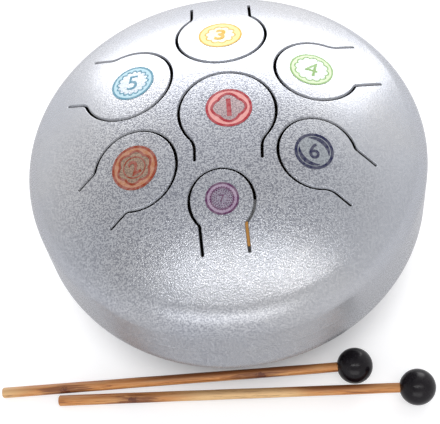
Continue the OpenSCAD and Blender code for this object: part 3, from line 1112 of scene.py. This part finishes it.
class TONGUEDRUM_OT_mallets(bpy.types.Operator):
    """Build the two mallets: whittled sticks with rubber balls"""

    bl_idname = "tongue_drum.mallets"
    bl_label = "Mallets"

    BALL_STEPS, STICK_STEPS, STICK_ROWS = 64, 40, 120
    # Gap between a stick and the hole in its ball, and the bevels of the hole and of the butt
    FIT, HOLE_BEVEL, BUTT_BEVEL = 0.00002, 0.0003, 0.0005

    # A whittled stick has waves along it and flats round it. The waves' rate, and the twists by
    # which both wander round the stick, are in radians to the metre.
    WAVE_RATE, WAVE_TWIST = 210, 31
    FLATS, FLAT_TWIST = 3, 47
    EVEN_SHARE, WAVE_SHARE, FLAT_SHARE = 0.5, 0.3, 0.2
    PHASES = {"rear": 0.0, "front": 2.1}

    def execute(self, context):
        sizes = context.scene.drum_mallets
        for place in ("rear", "front"):
            mallet = Mallet(place)
            self.build_ball(mallet, sizes)
            self.build_stick(mallet, sizes)
        return {"FINISHED"}

    def build_ball(self, mallet, sizes):
        """A ball with a blind hole for the stick."""
        radius, hole = sizes.ball_diameter / 2, sizes.tip_diameter / 2 + self.FIT
        opening = math.asin((hole + self.HOLE_BEVEL) / radius)
        skin = arc(0, 0, radius, 0, math.pi - opening, self.BALL_STEPS // 2 + 1)
        mouth = -math.sqrt(radius**2 - hole**2) + self.HOLE_BEVEL
        bottom = -radius + sizes.socket_depth
        ball = Surface()
        for section in (
            skin,
            [(*skin[-1][:2], -HALFWAY, -HALFWAY), (hole, mouth, -HALFWAY, -HALFWAY)],
            [(hole, mouth, -1, 0), (hole, bottom, -1, 0)],
            [(hole, bottom, 0, -1), (0, bottom, 0, -1)],
        ):
            lathe_along_x(ball, section, self.BALL_STEPS)
        piece = mallet.put(ball, f"ball_{mallet.place}", ball_rubber())
        finish_piece(piece, mallet.body, "ball_rubber", f"head_{mallet.place}")

    def build_stick(self, mallet, sizes):
        """A tapered stick whose surface wavers a little between its two ends."""
        butt, tip, reach = sizes.butt_diameter / 2, sizes.tip_diameter / 2, sizes.reach
        phase = self.PHASES[mallet.place]
        rim = -sizes.ball_diameter / 2
        end = rim + sizes.socket_depth - self.FIT

        def waver(x, turn):
            if not -reach < x < end:
                return 0.0
            waves = math.sin(self.WAVE_RATE * x + phase) * math.cos(turn + self.WAVE_TWIST * x)
            flats = math.cos(self.FLATS * turn + self.FLAT_TWIST * x + phase)
            return sizes.unevenness * (
                self.EVEN_SHARE + self.WAVE_SHARE * waves + self.FLAT_SHARE * flats
            )

        run = reach + rim
        side = [
            (butt + (tip - butt) * (x + reach) / run, x, 1, (butt - tip) / run)
            for x in np.linspace(-reach + self.BUTT_BEVEL, rim - self.FIT, self.STICK_ROWS)
        ]
        flat = butt - self.BUTT_BEVEL
        stick = Surface()
        for section in (
            [(0, -reach, 0, -1), (flat, -reach, 0, -1)],
            [(flat, -reach, HALFWAY, -HALFWAY), (*side[0][:2], HALFWAY, -HALFWAY)],
            side,
            [(*side[-1][:2], 1, 0), (tip, end, 1, 0)],
            [(tip, end, 0, 1), (0, end, 0, 1)],
        ):
            lathe_along_x(stick, section, self.STICK_STEPS, waver)
        piece = mallet.put(stick, f"whittled_{mallet.place}", stick_wood(mallet.place))
        finish_piece(piece, mallet.body, "stick_wood", f"stick_{mallet.place}")


def feed(tree, socket, value):
    """Links an input to another node's output, or sets it to a plain number, vector or colour."""
    if isinstance(value, bpy.types.NodeSocket):
        tree.links.new(value, socket)
    else:
        socket.default_value = (*value, 1) if socket.type == "RGBA" else value


def add_node(tree, kind, inputs, **settings):
    """Adds a node with its settings, feeds its inputs by name or number, and returns its outputs."""
    node = tree.nodes.new(kind)
    for name, value in settings.items():
        setattr(node, name, value)
    for key, value in inputs.items():
        feed(tree, node.inputs[key], value)
    return node.outputs


def math_node(tree, operation, *values, clamp=False):
    """The result of a Math node on numbers or sockets."""
    settings = {"operation": operation, "use_clamp": clamp}
    return add_node(tree, "ShaderNodeMath", dict(enumerate(values)), **settings)[0]


def combined(tree, operation, *values):
    """The result of one operation on several numbers or sockets, in turn."""
    return reduce(lambda first, second: math_node(tree, operation, first, second), values)


def vector_node(tree, operation, *values):
    """The outputs of a Vector Math node on vectors or sockets."""
    return add_node(tree, "ShaderNodeVectorMath", dict(enumerate(values)), operation=operation)


def ranged(tree, value, low, high, to_low=0.0, to_high=1.0):
    """Maps a value smoothly from one range to another."""
    ends = {"Value": value, "From Min": low, "From Max": high, "To Min": to_low, "To Max": to_high}
    return add_node(tree, "ShaderNodeMapRange", ends, interpolation_type="SMOOTHSTEP")["Result"]


def mixed(tree, factor, first, second, blend="MIX"):
    """Mixes two colours, each a socket or a plain colour."""
    inputs = {0: factor, 6: first, 7: second}
    return add_node(tree, "ShaderNodeMix", inputs, data_type="RGBA", blend_type=blend)[2]


def noise(tree, vector, scale, detail=2.0, roughness=0.5, distortion=0.0):
    """The value of a noise texture."""
    inputs = {
        "Vector": vector, "Scale": scale, "Detail": detail, "Roughness": roughness,
        "Distortion": distortion,
    }
    return add_node(tree, "ShaderNodeTexNoise", inputs)["Fac"]


def bumped(tree, height, distance):
    """The normal that a height from 0 to 1 over a distance gives."""
    return add_node(tree, "ShaderNodeBump", {"Height": height, "Distance": distance})["Normal"]


def reach_from_axis(tree, vector, stretch=(1, 1, 0)):
    """Distance of a place from the Z axis, or a stretched distance."""
    flat = vector_node(tree, "MULTIPLY", vector, stretch)["Vector"]
    return vector_node(tree, "LENGTH", flat)["Value"]


def placed(tree, group, **values):
    """Adds a group node, feeds its inputs by name, and returns its outputs."""
    inputs = {name.replace("_", " "): value for name, value in values.items()}
    return add_node(tree, "ShaderNodeGroup", inputs, node_tree=group)


def new_group(name, inputs, outputs):
    """A shader node group with named sockets, and its input and output nodes."""
    tree = bpy.data.node_groups.new(name, "ShaderNodeTree")
    for label, kind, default in inputs:
        socket = tree.interface.new_socket(label, in_out="INPUT", socket_type=f"NodeSocket{kind}")
        if default is not None:
            socket.default_value = default
    for label in outputs:
        tree.interface.new_socket(label, in_out="OUTPUT", socket_type="NodeSocketFloat")
    return tree, tree.nodes.new("NodeGroupInput").outputs, tree.nodes.new("NodeGroupOutput").inputs


# Where the cells' noise turns to hollows and to height, and the stretch and edge of the spot
# where the front lamp's highlight falls, whose hollows are painted fainter
HOLLOW_EDGE, HEIGHT_EDGE = (0.60, 0.38), (0.30, 0.70)
HIGHLIGHT_SPOT_STRETCH, HIGHLIGHT_SPOT_EDGE = (0.5, 1.4, 0), (0.012, 0.030)
NOISE_MIDDLE = (0.5, 0.5, 0.5)


@made_once
def hammered_cells():
    """Group: hollows and swells of hammered paint, which grow weaker away from a centre.

    The paint is more even round one calm spot, on the front rise of the crown.
    """
    tree, given, result = new_group(
        "Hammered cells",
        [("Vector", "Vector", None), ("Cells", "Float", 1350.0), ("Wobble", "Float", 0.0004),
         ("Centre", "Vector", (-0.010, -0.036, 0.0)),
         ("Fade Start", "Float", 0.040), ("Fade End", "Float", 0.090), ("Least", "Float", 0.30),
         ("Highlight Spot", "Vector", (0.008, -0.078, 0.0)), ("Calm", "Float", 0.45)],
        ["Hollows", "Height"],
    )
    stir = add_node(tree, "ShaderNodeTexNoise", {"Vector": given["Vector"], "Scale": given["Cells"]})
    centred = vector_node(tree, "SUBTRACT", stir["Color"], NOISE_MIDDLE)[0]
    moved = vector_node(tree, "MULTIPLY_ADD", centred, given["Wobble"], given["Vector"])[0]
    swell = noise(tree, moved, given["Cells"], detail=1.0)
    off_centre, off_spot = (
        vector_node(tree, "SUBTRACT", given["Vector"], given[spot])[0] for spot in ("Centre", "Highlight Spot")
    )
    reach = reach_from_axis(tree, off_centre)
    fade = ranged(tree, reach, given["Fade Start"], given["Fade End"], 1.0, given["Least"])
    # Painted light: the hollows grow fainter round the spot where the front lamp's highlight falls
    highlight_evening = ranged(tree, reach_from_axis(tree, off_spot, HIGHLIGHT_SPOT_STRETCH), *HIGHLIGHT_SPOT_EDGE, given["Calm"], 1.0)
    hollows = combined(tree, "MULTIPLY", ranged(tree, swell, *HOLLOW_EDGE), highlight_evening, fade)
    height = combined(tree, "MULTIPLY", ranged(tree, swell, *HEIGHT_EDGE), fade)
    tree.links.new(hollows, result["Hollows"])
    tree.links.new(height, result["Height"])
    return tree


# Where the drift's noise turns from its least to its most
DRIFT_EDGE = (0.3, 0.7)


@made_once
def fine_speckle():
    """Group: even fine grain with a slow drift, for rubber, foam, ink, paint and bare metal."""
    tree, given, result = new_group(
        "Fine speckle",
        [("Vector", "Vector", None), ("Grain", "Float", 2500.0), ("Drift", "Float", 90.0)],
        ["Grain", "Drift"],
    )
    grain = noise(tree, given["Vector"], given["Grain"], roughness=0.6)
    drift = noise(tree, given["Vector"], given["Drift"], detail=3.0, roughness=0.55)
    tree.links.new(grain, result["Grain"])
    tree.links.new(ranged(tree, drift, *DRIFT_EDGE), result["Drift"])
    return tree


def dress(tree, shader, **values):
    """Feeds the Principled shader's inputs by name."""
    for name, value in values.items():
        feed(tree, shader.inputs[name.replace("_", " ")], value)


def new_material(name, **values):
    """A material with values on its Principled shader: itself, its tree, shader and own place."""
    material = bpy.data.materials.new(name)
    material.use_nodes = True
    tree = material.node_tree
    shader = tree.nodes["Principled BSDF"]
    dress(tree, shader, **values)
    return material, tree, shader, tree.nodes.new("ShaderNodeTexCoord").outputs["Object"]


def toned(colour, shares):
    """A colour with each of its parts taken by a share."""
    return tuple(c * s for c, s in zip(colour, shares))


def speckled_material(name, tones, grain, drift, depth, mask="Drift", most=1.0, **values):
    """A material that shifts between two tones and has a fine raised grain, and its parts."""
    material, tree, shader, place = new_material(name, **values)
    speckle = placed(tree, fine_speckle(), Vector=place, Grain=grain, Drift=drift)
    colour = mixed(tree, math_node(tree, "MULTIPLY", speckle[mask], most), *tones)
    dress(tree, shader, Base_Color=colour, Normal=bumped(tree, speckle["Grain"], depth))
    return material, tree, shader, speckle


# The paint's slow drift, and how much rougher it is in its hollows
COOL, WARM, HOLLOW_ROUGHNESS = (0.965, 0.975, 1.0), (1.0, 0.985, 0.965), 0.03


def paint_material(name, contrast, depth, roughness, metallic=0.5, tint=(1.0, 1.0, 1.0)):
    """Grey hammered paint: pale swells, darker hollows, and a slow cool and warm drift."""
    finish = bpy.context.scene.drum_finish
    material, tree, shader, place = new_material(
        name, Metallic=metallic, Specular_IOR_Level=0.2, Specular_Tint=(0.6, 0.6, 0.62),
        Coat_Weight=0.2, Coat_Roughness=0.25, Coat_IOR=1.6,
    )
    cells = placed(tree, hammered_cells(), Vector=place)
    speckle = placed(tree, fine_speckle(), Vector=place, Grain=1500.0, Drift=14.0)
    hollows = math_node(tree, "MULTIPLY", cells["Hollows"], contrast)
    base = mixed(tree, hollows, toned(finish.paint_pale, tint), toned(finish.paint_dark, tint))
    drift = mixed(tree, speckle["Drift"], COOL, WARM)
    rippled = bumped(tree, cells["Height"], depth)
    dress(
        tree, shader, Base_Color=mixed(tree, 1.0, base, drift, "MULTIPLY"),
        Roughness=math_node(tree, "MULTIPLY_ADD", cells["Hollows"], HOLLOW_ROUGHNESS, roughness),
        Normal=rippled, Coat_Normal=rippled,
    )
    return material


@made_once
def hammered_paint():
    """Silver hammered paint on the outside of the shells, the tongues and the weld."""
    return paint_material("hammered_paint", contrast=1.05, depth=0.00005, roughness=0.27)


@made_once
def cut_edge():
    """Thin paint on the walls of the slots and the port."""
    return paint_material(
        "cut_edge_with_painted_light", contrast=0.3, depth=0.00001, roughness=0.5, metallic=0.0,
        # A tint above 1 is painted light, which makes the walls read as lit
        tint=(1.25, 1.25, 1.25),
    )


def clear_film(design):
    """Clear film over the paint, which evens out its cells a little and takes up some ink."""
    return paint_material(
        f"film_{design['slot']}", contrast=0.8, depth=0.00002, roughness=0.36,
        tint=linear(design["tint"]),
    )


RUST_SHARES = (0.75, 0.55, 0.42)


@made_once
def bare_steel():
    """Dull steel inside the drum, with a drift of rust brown."""
    steel = bpy.context.scene.drum_finish.steel
    return speckled_material(
        "bare_steel", (steel, toned(steel, RUST_SHARES)), grain=900.0, drift=40.0, depth=0.00002,
        Metallic=0.6, Roughness=0.6,
    )[0]


DARK_FIBRE_SHARES = (0.72, 0.72, 0.72)


@made_once
def packing_fibre():
    """Brown fibre of the sliver in the slot."""
    fibre = bpy.context.scene.drum_finish.packing
    return speckled_material(
        "packing_fibre", (fibre, toned(fibre, DARK_FIBRE_SHARES)), grain=2200.0, drift=260.0,
        depth=0.00005, mask="Grain", Roughness=0.85,
    )[0]


# How much paler rubber is where it blooms, in shares and at the least, and how much rougher
BLOOM_SHARE, BLOOM_LEAST, BLOOM_ROUGHNESS = 1.5, 0.004, 0.12


def rubber_material(name, tone, roughness, grain, depth, sheen=0.5):
    """Matt rubber or foam with a fine grain and a slow bloom."""
    bloom = tuple(min(1.0, c * BLOOM_SHARE + BLOOM_LEAST) for c in tone)
    material, tree, shader, speckle = speckled_material(
        name, (tone, bloom), grain, drift=120.0, depth=depth, Specular_IOR_Level=sheen
    )
    rough = math_node(tree, "MULTIPLY_ADD", speckle["Drift"], BLOOM_ROUGHNESS, roughness)
    dress(tree, shader, Roughness=rough)
    return material


@made_once
def ball_rubber():
    """Black rubber of the balls, with a soft gloss."""
    tone = bpy.context.scene.drum_finish.rubber
    return rubber_material("ball_rubber", tone, roughness=0.18, grain=1400.0, depth=0.000008, sheen=0.22)


@made_once
def foot_rubber():
    """Dark rubber of the feet."""
    tone = bpy.context.scene.drum_finish.foot
    return rubber_material("foot_rubber", tone, roughness=0.6, grain=1800.0, depth=0.00003)


@made_once
def adhesive_foam():
    """Black foam of the pads, with open cells."""
    tone = bpy.context.scene.drum_finish.foam
    return rubber_material("adhesive_foam", tone, roughness=0.85, grain=2600.0, depth=0.00008)


# Marks of each stick, by place along it from the ball's centre, which counts down to the butt:
# pale sapwood from and to, a dark band on the upper side from and to, which is darker wood and
# painted shade along the stick's top, and the knots. The grain is shifted, so that the two sticks differ.
STICK_MARKS = {
    "rear": {"pale": (-0.20, -0.17), "heart_and_shade": (-0.115, -0.020), "knots": (-0.150, -0.048),
             "shift": 0.0},
    "front": {"pale": (-0.120, -0.058), "heart_and_shade": (-0.058, -0.012), "knots": (-0.144,),
              "shift": 0.05},
}
# How much the grain is drawn out along the stick, how far the marks' ends wander and how soft
# they are, and where the upper side of the stick, which has a painted shade, begins and ends across it
GRAIN_SHARES, WANDER, BAND_SOFT = (0.05, 1.0, 1.0), 0.05, 0.014
FRONT_LEAN, UPPER_EDGE = 1.5, (-0.0012, 0.0030)
# Where streaks, blotches and pores stand out of their noise, and their least and most strength
STREAKY, BLOTCHED, PORED = (0.40, 0.68, 0.0, 0.35), (0.47, 0.34, 0.0, 0.75), (0.60, 0.72, 0.0, 0.4)
# Strengths of the pale band, of the dark band on the upper side, which is darker wood and painted shade,
# and of the painted shade all along the upper side
PALE_STRENGTH, HEART_AND_SHADE_STRENGTH, UPPER_SHADE_STRENGTH = 0.85, 0.8, 0.35
WOOD_ROUGHNESS, STREAK_ROUGHNESS, PORE_DEPTH = 0.36, 0.2, 0.00004
# Knots: half length and half width, how far behind the stick's axis they lie, how much longer
# the rim is, how strongly streaks and cracks break up rim and eye, and where both end
KNOT_HALF, KNOT_SWELL, KNOT_OFFSET, RIM_STRETCH = 0.005, 0.0034, 0.0022, 2.6
RIM_BREAK, EYE_BREAK = 7.0, 1.6
RIM_EDGE, EYE_EDGE = (5.2, 3.6, 0.0, 0.8), (1.3, 0.9)


def along_band(tree, along, start, end):
    """A mask that is 1 between two places along the stick, with soft ends."""
    rise = ranged(tree, along, start - BAND_SOFT, start + BAND_SOFT)
    fall = ranged(tree, along, end + BAND_SOFT, end - BAND_SOFT)
    return math_node(tree, "MULTIPLY", rise, fall)


@made_once
def stick_wood(side):
    """Wood that runs along the stick: sapwood and heartwood in streaks, fine pores and knots."""
    finish = bpy.context.scene.drum_finish
    marks = STICK_MARKS[side]
    material, tree, shader, _ = new_material(f"stick_wood_{side}")
    own = add_node(tree, "ShaderNodeAttribute", {}, attribute_name="own_place")["Vector"]
    drawn_out = {"Vector": own, "Location": (0.0, marks["shift"], 0.0), "Scale": GRAIN_SHARES}
    grain = add_node(tree, "ShaderNodeMapping", drawn_out)[0]
    place = add_node(tree, "ShaderNodeSeparateXYZ", {0: own})
    streaks = noise(tree, grain, scale=820.0, detail=4.0, roughness=0.68, distortion=0.6)
    broad = noise(tree, grain, scale=240.0)
    pores = noise(tree, grain, scale=2400.0, roughness=0.6)
    cracks = noise(tree, own, scale=700.0, roughness=0.6, distortion=1.0)
    wander = math_node(tree, "MULTIPLY_ADD", broad, WANDER, place["X"])
    wander = math_node(tree, "SUBTRACT", wander, WANDER / 2)
    pale, heart_and_shade = (along_band(tree, wander, *marks[mark]) for mark in ("pale", "heart_and_shade"))
    pale = math_node(tree, "MULTIPLY", pale, PALE_STRENGTH)
    pale = math_node(tree, "MAXIMUM", pale, ranged(tree, streaks, *STREAKY))
    wood = mixed(tree, pale, finish.wood_mid, finish.wood_pale)
    across = math_node(tree, "MULTIPLY_ADD", place["Y"], FRONT_LEAN, place["Z"])
    upper = ranged(tree, across, *UPPER_EDGE)
    dark = combined(
        tree, "MAXIMUM",
        # Dark band on the upper side: darker wood and painted shade along the top
        combined(tree, "MULTIPLY", heart_and_shade, upper, HEART_AND_SHADE_STRENGTH),
        ranged(tree, streaks, *BLOTCHED),
        # Painted shade: the whole upper side of the stick is darker
        math_node(tree, "MULTIPLY", upper, UPPER_SHADE_STRENGTH),
        *(knot_mark(tree, place, knot, streaks, cracks) for knot in marks["knots"]),
        ranged(tree, pores, *PORED),
    )
    dress(
        tree, shader, Base_Color=mixed(tree, dark, wood, finish.wood_dark),
        Roughness=math_node(tree, "MULTIPLY_ADD", streaks, STREAK_ROUGHNESS, WOOD_ROUGHNESS),
        Normal=bumped(tree, pores, PORE_DEPTH),
    )
    return material


def knot_mark(tree, place, knot, streaks, cracks):
    """A dark knot on the upper front of the stick, with a streaky rim and dark cracks."""
    off = math_node(tree, "DIVIDE", math_node(tree, "SUBTRACT", place["X"], knot), KNOT_HALF)
    side = math_node(tree, "DIVIDE", math_node(tree, "ADD", place["Y"], KNOT_OFFSET), KNOT_SWELL)
    across = math_node(tree, "MULTIPLY", side, side)
    square = math_node(tree, "MULTIPLY_ADD", off, off, across)
    long = math_node(tree, "DIVIDE", off, RIM_STRETCH)
    flame = math_node(tree, "MULTIPLY_ADD", long, long, across)
    rim = ranged(tree, math_node(tree, "MULTIPLY_ADD", streaks, RIM_BREAK, flame), *RIM_EDGE)
    eye = ranged(tree, math_node(tree, "MULTIPLY_ADD", cracks, EYE_BREAK, square), *EYE_EDGE)
    return math_node(tree, "MAXIMUM", rim, eye)


WORN_SHARE = 0.16


def ink(design, kind):
    """Printing ink, which is worn a little paler in spots."""
    tone = linear(design[kind])
    worn = tuple(c + (1 - c) * WORN_SHARE for c in tone)
    return speckled_material(
        f"{design['slot']}_{kind}", (tone, worn), grain=3200.0, drift=420.0, depth=0.000004,
        most=0.6, Roughness=0.5, Specular_IOR_Level=0.2,
    )[0]


def seen_rays(tree):
    """Two masks: rays from the camera, and reflected and transmitted rays."""
    path = tree.nodes.new("ShaderNodeLightPath").outputs
    mirrored = math_node(tree, "ADD", path["Is Glossy Ray"], path["Is Transmission Ray"], clamp=True)
    return path["Is Camera Ray"], mirrored


class TONGUEDRUM_OT_stage(bpy.types.Operator):
    """Set up the floor, the lamps, the sky and the camera"""

    bl_idname = "tongue_drum.stage"
    bl_label = "Stage and camera"

    SENSOR_WIDTH = 36.0
    FLOOR_RADIUS, FLOOR_STEPS = 4.0, 96
    FLOOR_SHADES = (0.985, 0.985, 0.985)
    # The floor glows outside this reach from the axis, and by this share in mirrored rays. Inside
    #     that reach the glow fades out: a painted shadow under and round the drum.
    GLOW_EDGE, MIRRORED_GLOW = (0.070, 0.105), 0.42
    # How high a mirrored ray goes where the ceiling gives way to the walls
    CEILING_EDGE = (0.75, 0.45)
    # How far back the ceiling grows bright, how far forwards the walls grow dim and how far to the
    # sides, each as a part of the ray's own length, and the level that they reach there
    BEHIND_EDGE, CEILING_BEHIND = (0.18, 0.50), 1.0
    WALL_EDGE, WALL_IN_FRONT = (-0.1, 0.5), 0.75
    SIDE_EDGE, WALL_AT_SIDE = (0.60, 0.95), 0.72

    def execute(self, context):
        stage = context.scene.drum_stage
        self.build_floor(stage)
        self.light_sky(context.scene, stage)
        self.hang_lamp(
            "back_softbox", stage.back_lamp, bearing=(3, 24), distance=1.7, size=(2.4, 1.1)
        )
        self.hang_lamp(
            "front_strip", stage.front_lamp, bearing=(171, 65), distance=1.4, size=(1.4, 0.10),
            tilt=-10,
        )
        self.hang_lamp(
            "front_fill", stage.fill_lamp, bearing=(184, 16), distance=1.8, size=(1.7, 0.8)
        )
        self.place_camera(context.scene, stage)
        context.scene.view_settings.view_transform = "Standard"
        return {"FINISHED"}

    def build_floor(self, stage):
        """A wide round pale floor that keeps the object's shadow."""
        floor = Surface()
        floor.add_turned([(self.FLOOR_RADIUS, 0, 0, 1), (0, 0, 0, 1)], self.FLOOR_STEPS)
        material, tree, shader, place = new_material(
            "pale_floor", Roughness=0.9, Specular_IOR_Level=0.0, Emission_Color=(1, 1, 1)
        )
        speckle = placed(tree, fine_speckle(), Vector=place, Grain=300.0, Drift=3.0)
        colour = mixed(tree, speckle["Drift"], stage.floor, toned(stage.floor, self.FLOOR_SHADES))
        # Painted shadow: no glow near the drum's axis
        clear = ranged(tree, reach_from_axis(tree, place), *self.GLOW_EDGE)
        camera, mirrored = seen_rays(tree)
        seen = math_node(tree, "MULTIPLY_ADD", mirrored, self.MIRRORED_GLOW, camera)
        glow = combined(tree, "MULTIPLY", seen, stage.floor_glow, clear)
        dress(tree, shader, Base_Color=colour, Emission_Strength=glow)
        add_piece("studio_floor", floor.mesh("studio_floor", [material]))

    def light_sky(self, scene, stage):
        """Even light. The camera sees white, and glossy surfaces see a dim ceiling and pale walls.

        Behind the drum the ceiling is white. In front of it and at its sides the walls are dimmer.
        """
        world = bpy.data.worlds.new("studio_sky")
        world.use_nodes = True
        tree = world.node_tree
        sky = tree.nodes["Background"]
        feed(tree, sky.inputs["Color"], (1, 1, 1))
        ray = tree.nodes.new("ShaderNodeTexCoord").outputs["Generated"]
        way = add_node(tree, "ShaderNodeSeparateXYZ", {0: ray})
        low = ranged(tree, way["Z"], *self.CEILING_EDGE)
        behind = ranged(tree, way["Y"], *self.WALL_EDGE, self.WALL_IN_FRONT, 1.0)
        aside = math_node(tree, "ABSOLUTE", way["X"])
        beside = ranged(tree, aside, *self.SIDE_EDGE, 1.0, self.WALL_AT_SIDE)
        wall = combined(tree, "MULTIPLY", low, behind, beside)
        ceiling = ranged(tree, way["Y"], *self.BEHIND_EDGE, stage.ceiling, self.CEILING_BEHIND)
        shown = math_node(tree, "MULTIPLY_ADD", wall, math_node(tree, "SUBTRACT", 1.0, ceiling), ceiling)
        camera, mirrored = seen_rays(tree)
        part = math_node(tree, "SUBTRACT", shown, stage.sky)
        level = math_node(tree, "MULTIPLY_ADD", mirrored, part, stage.sky)
        level = math_node(tree, "MULTIPLY_ADD", camera, 1.0 - stage.sky, level)
        feed(tree, sky.inputs["Strength"], level)
        scene.world = world

    def hang_lamp(self, name, energy, bearing, distance, size, tilt=0):
        """A rectangular lamp aimed at the drum, by its turn from +Y towards +X and its elevation.

        A positive tilt lifts its end towards +X. Bearing and tilt are in degrees.
        """
        turn, rise = (math.radians(a) for a in bearing)
        away = Vector((math.sin(turn) * math.cos(rise), math.cos(turn) * math.cos(rise), math.sin(rise)))
        lamp = bpy.data.lights.new(name, "AREA")
        lamp.shape = "RECTANGLE"
        lamp.size, lamp.size_y = size
        lamp.energy = energy
        holder = bpy.data.objects.new(name, lamp)
        holder.location = away * distance + Vector((0, 0, WAIST_Z))
        level = away.to_track_quat("Z", "Y").to_matrix()
        holder.rotation_euler = (level @ Euler((0, 0, math.radians(tilt))).to_matrix()).to_euler()
        holder.visible_camera = False
        bpy.context.scene.collection.objects.link(holder)

    def place_camera(self, scene, stage):
        """The camera at the photograph's angle."""
        camera = bpy.data.cameras.new("camera")
        camera.lens = stage.focal_length * MILLIMETRES
        camera.sensor_width = self.SENSOR_WIDTH
        holder = bpy.data.objects.new("camera", camera)
        tilt = Euler((math.pi / 2 - stage.elevation, 0, stage.azimuth)).to_matrix()
        roll = Euler((0, 0, stage.roll)).to_matrix()
        holder.rotation_euler = (tilt @ roll).to_euler()
        holder.location = stage.camera_place
        scene.collection.objects.link(holder)
        scene.camera = holder


OPERATORS = [
    TONGUEDRUM_OT_shells,
    TONGUEDRUM_OT_packing,
    TONGUEDRUM_OT_discs,
    TONGUEDRUM_OT_feet,
    TONGUEDRUM_OT_mallets,
    TONGUEDRUM_OT_stage,
]


class TONGUEDRUM_PT_panel(bpy.types.Panel):
    """Lists the drum's pieces and their sizes"""

    bl_label = "Tongue Drum"
    bl_idname = "TONGUEDRUM_PT_panel"
    bl_space_type = "VIEW_3D"
    bl_region_type = "UI"
    bl_category = "Tongue Drum"

    def draw(self, context):
        for operator in OPERATORS:
            self.layout.operator(operator.bl_idname)
        for name in PROPERTY_GROUPS:
            box = self.layout.box()
            settings = getattr(context.scene, name)
            for field in settings.__annotations__:
                box.prop(settings, field)


def register():
    """Registers the classes and hangs the settings on the scene."""
    for group in PROPERTY_GROUPS.values():
        bpy.utils.register_class(group)
    for name, group in PROPERTY_GROUPS.items():
        setattr(bpy.types.Scene, name, PointerProperty(type=group))
    for operator in OPERATORS:
        bpy.utils.register_class(operator)
    bpy.utils.register_class(TONGUEDRUM_PT_panel)


def unregister():
    """Takes back what register has done."""
    bpy.utils.unregister_class(TONGUEDRUM_PT_panel)
    for operator in reversed(OPERATORS):
        bpy.utils.unregister_class(operator)
    for name, group in PROPERTY_GROUPS.items():
        delattr(bpy.types.Scene, name)
        bpy.utils.unregister_class(group)


def main():
    """Builds every piece in order and writes the two boxes."""
    register()
    for operator in OPERATORS:
        category, name = operator.bl_idname.split(".")
        getattr(getattr(bpy.ops, category), name)()


if __name__ == "__main__":
    main()
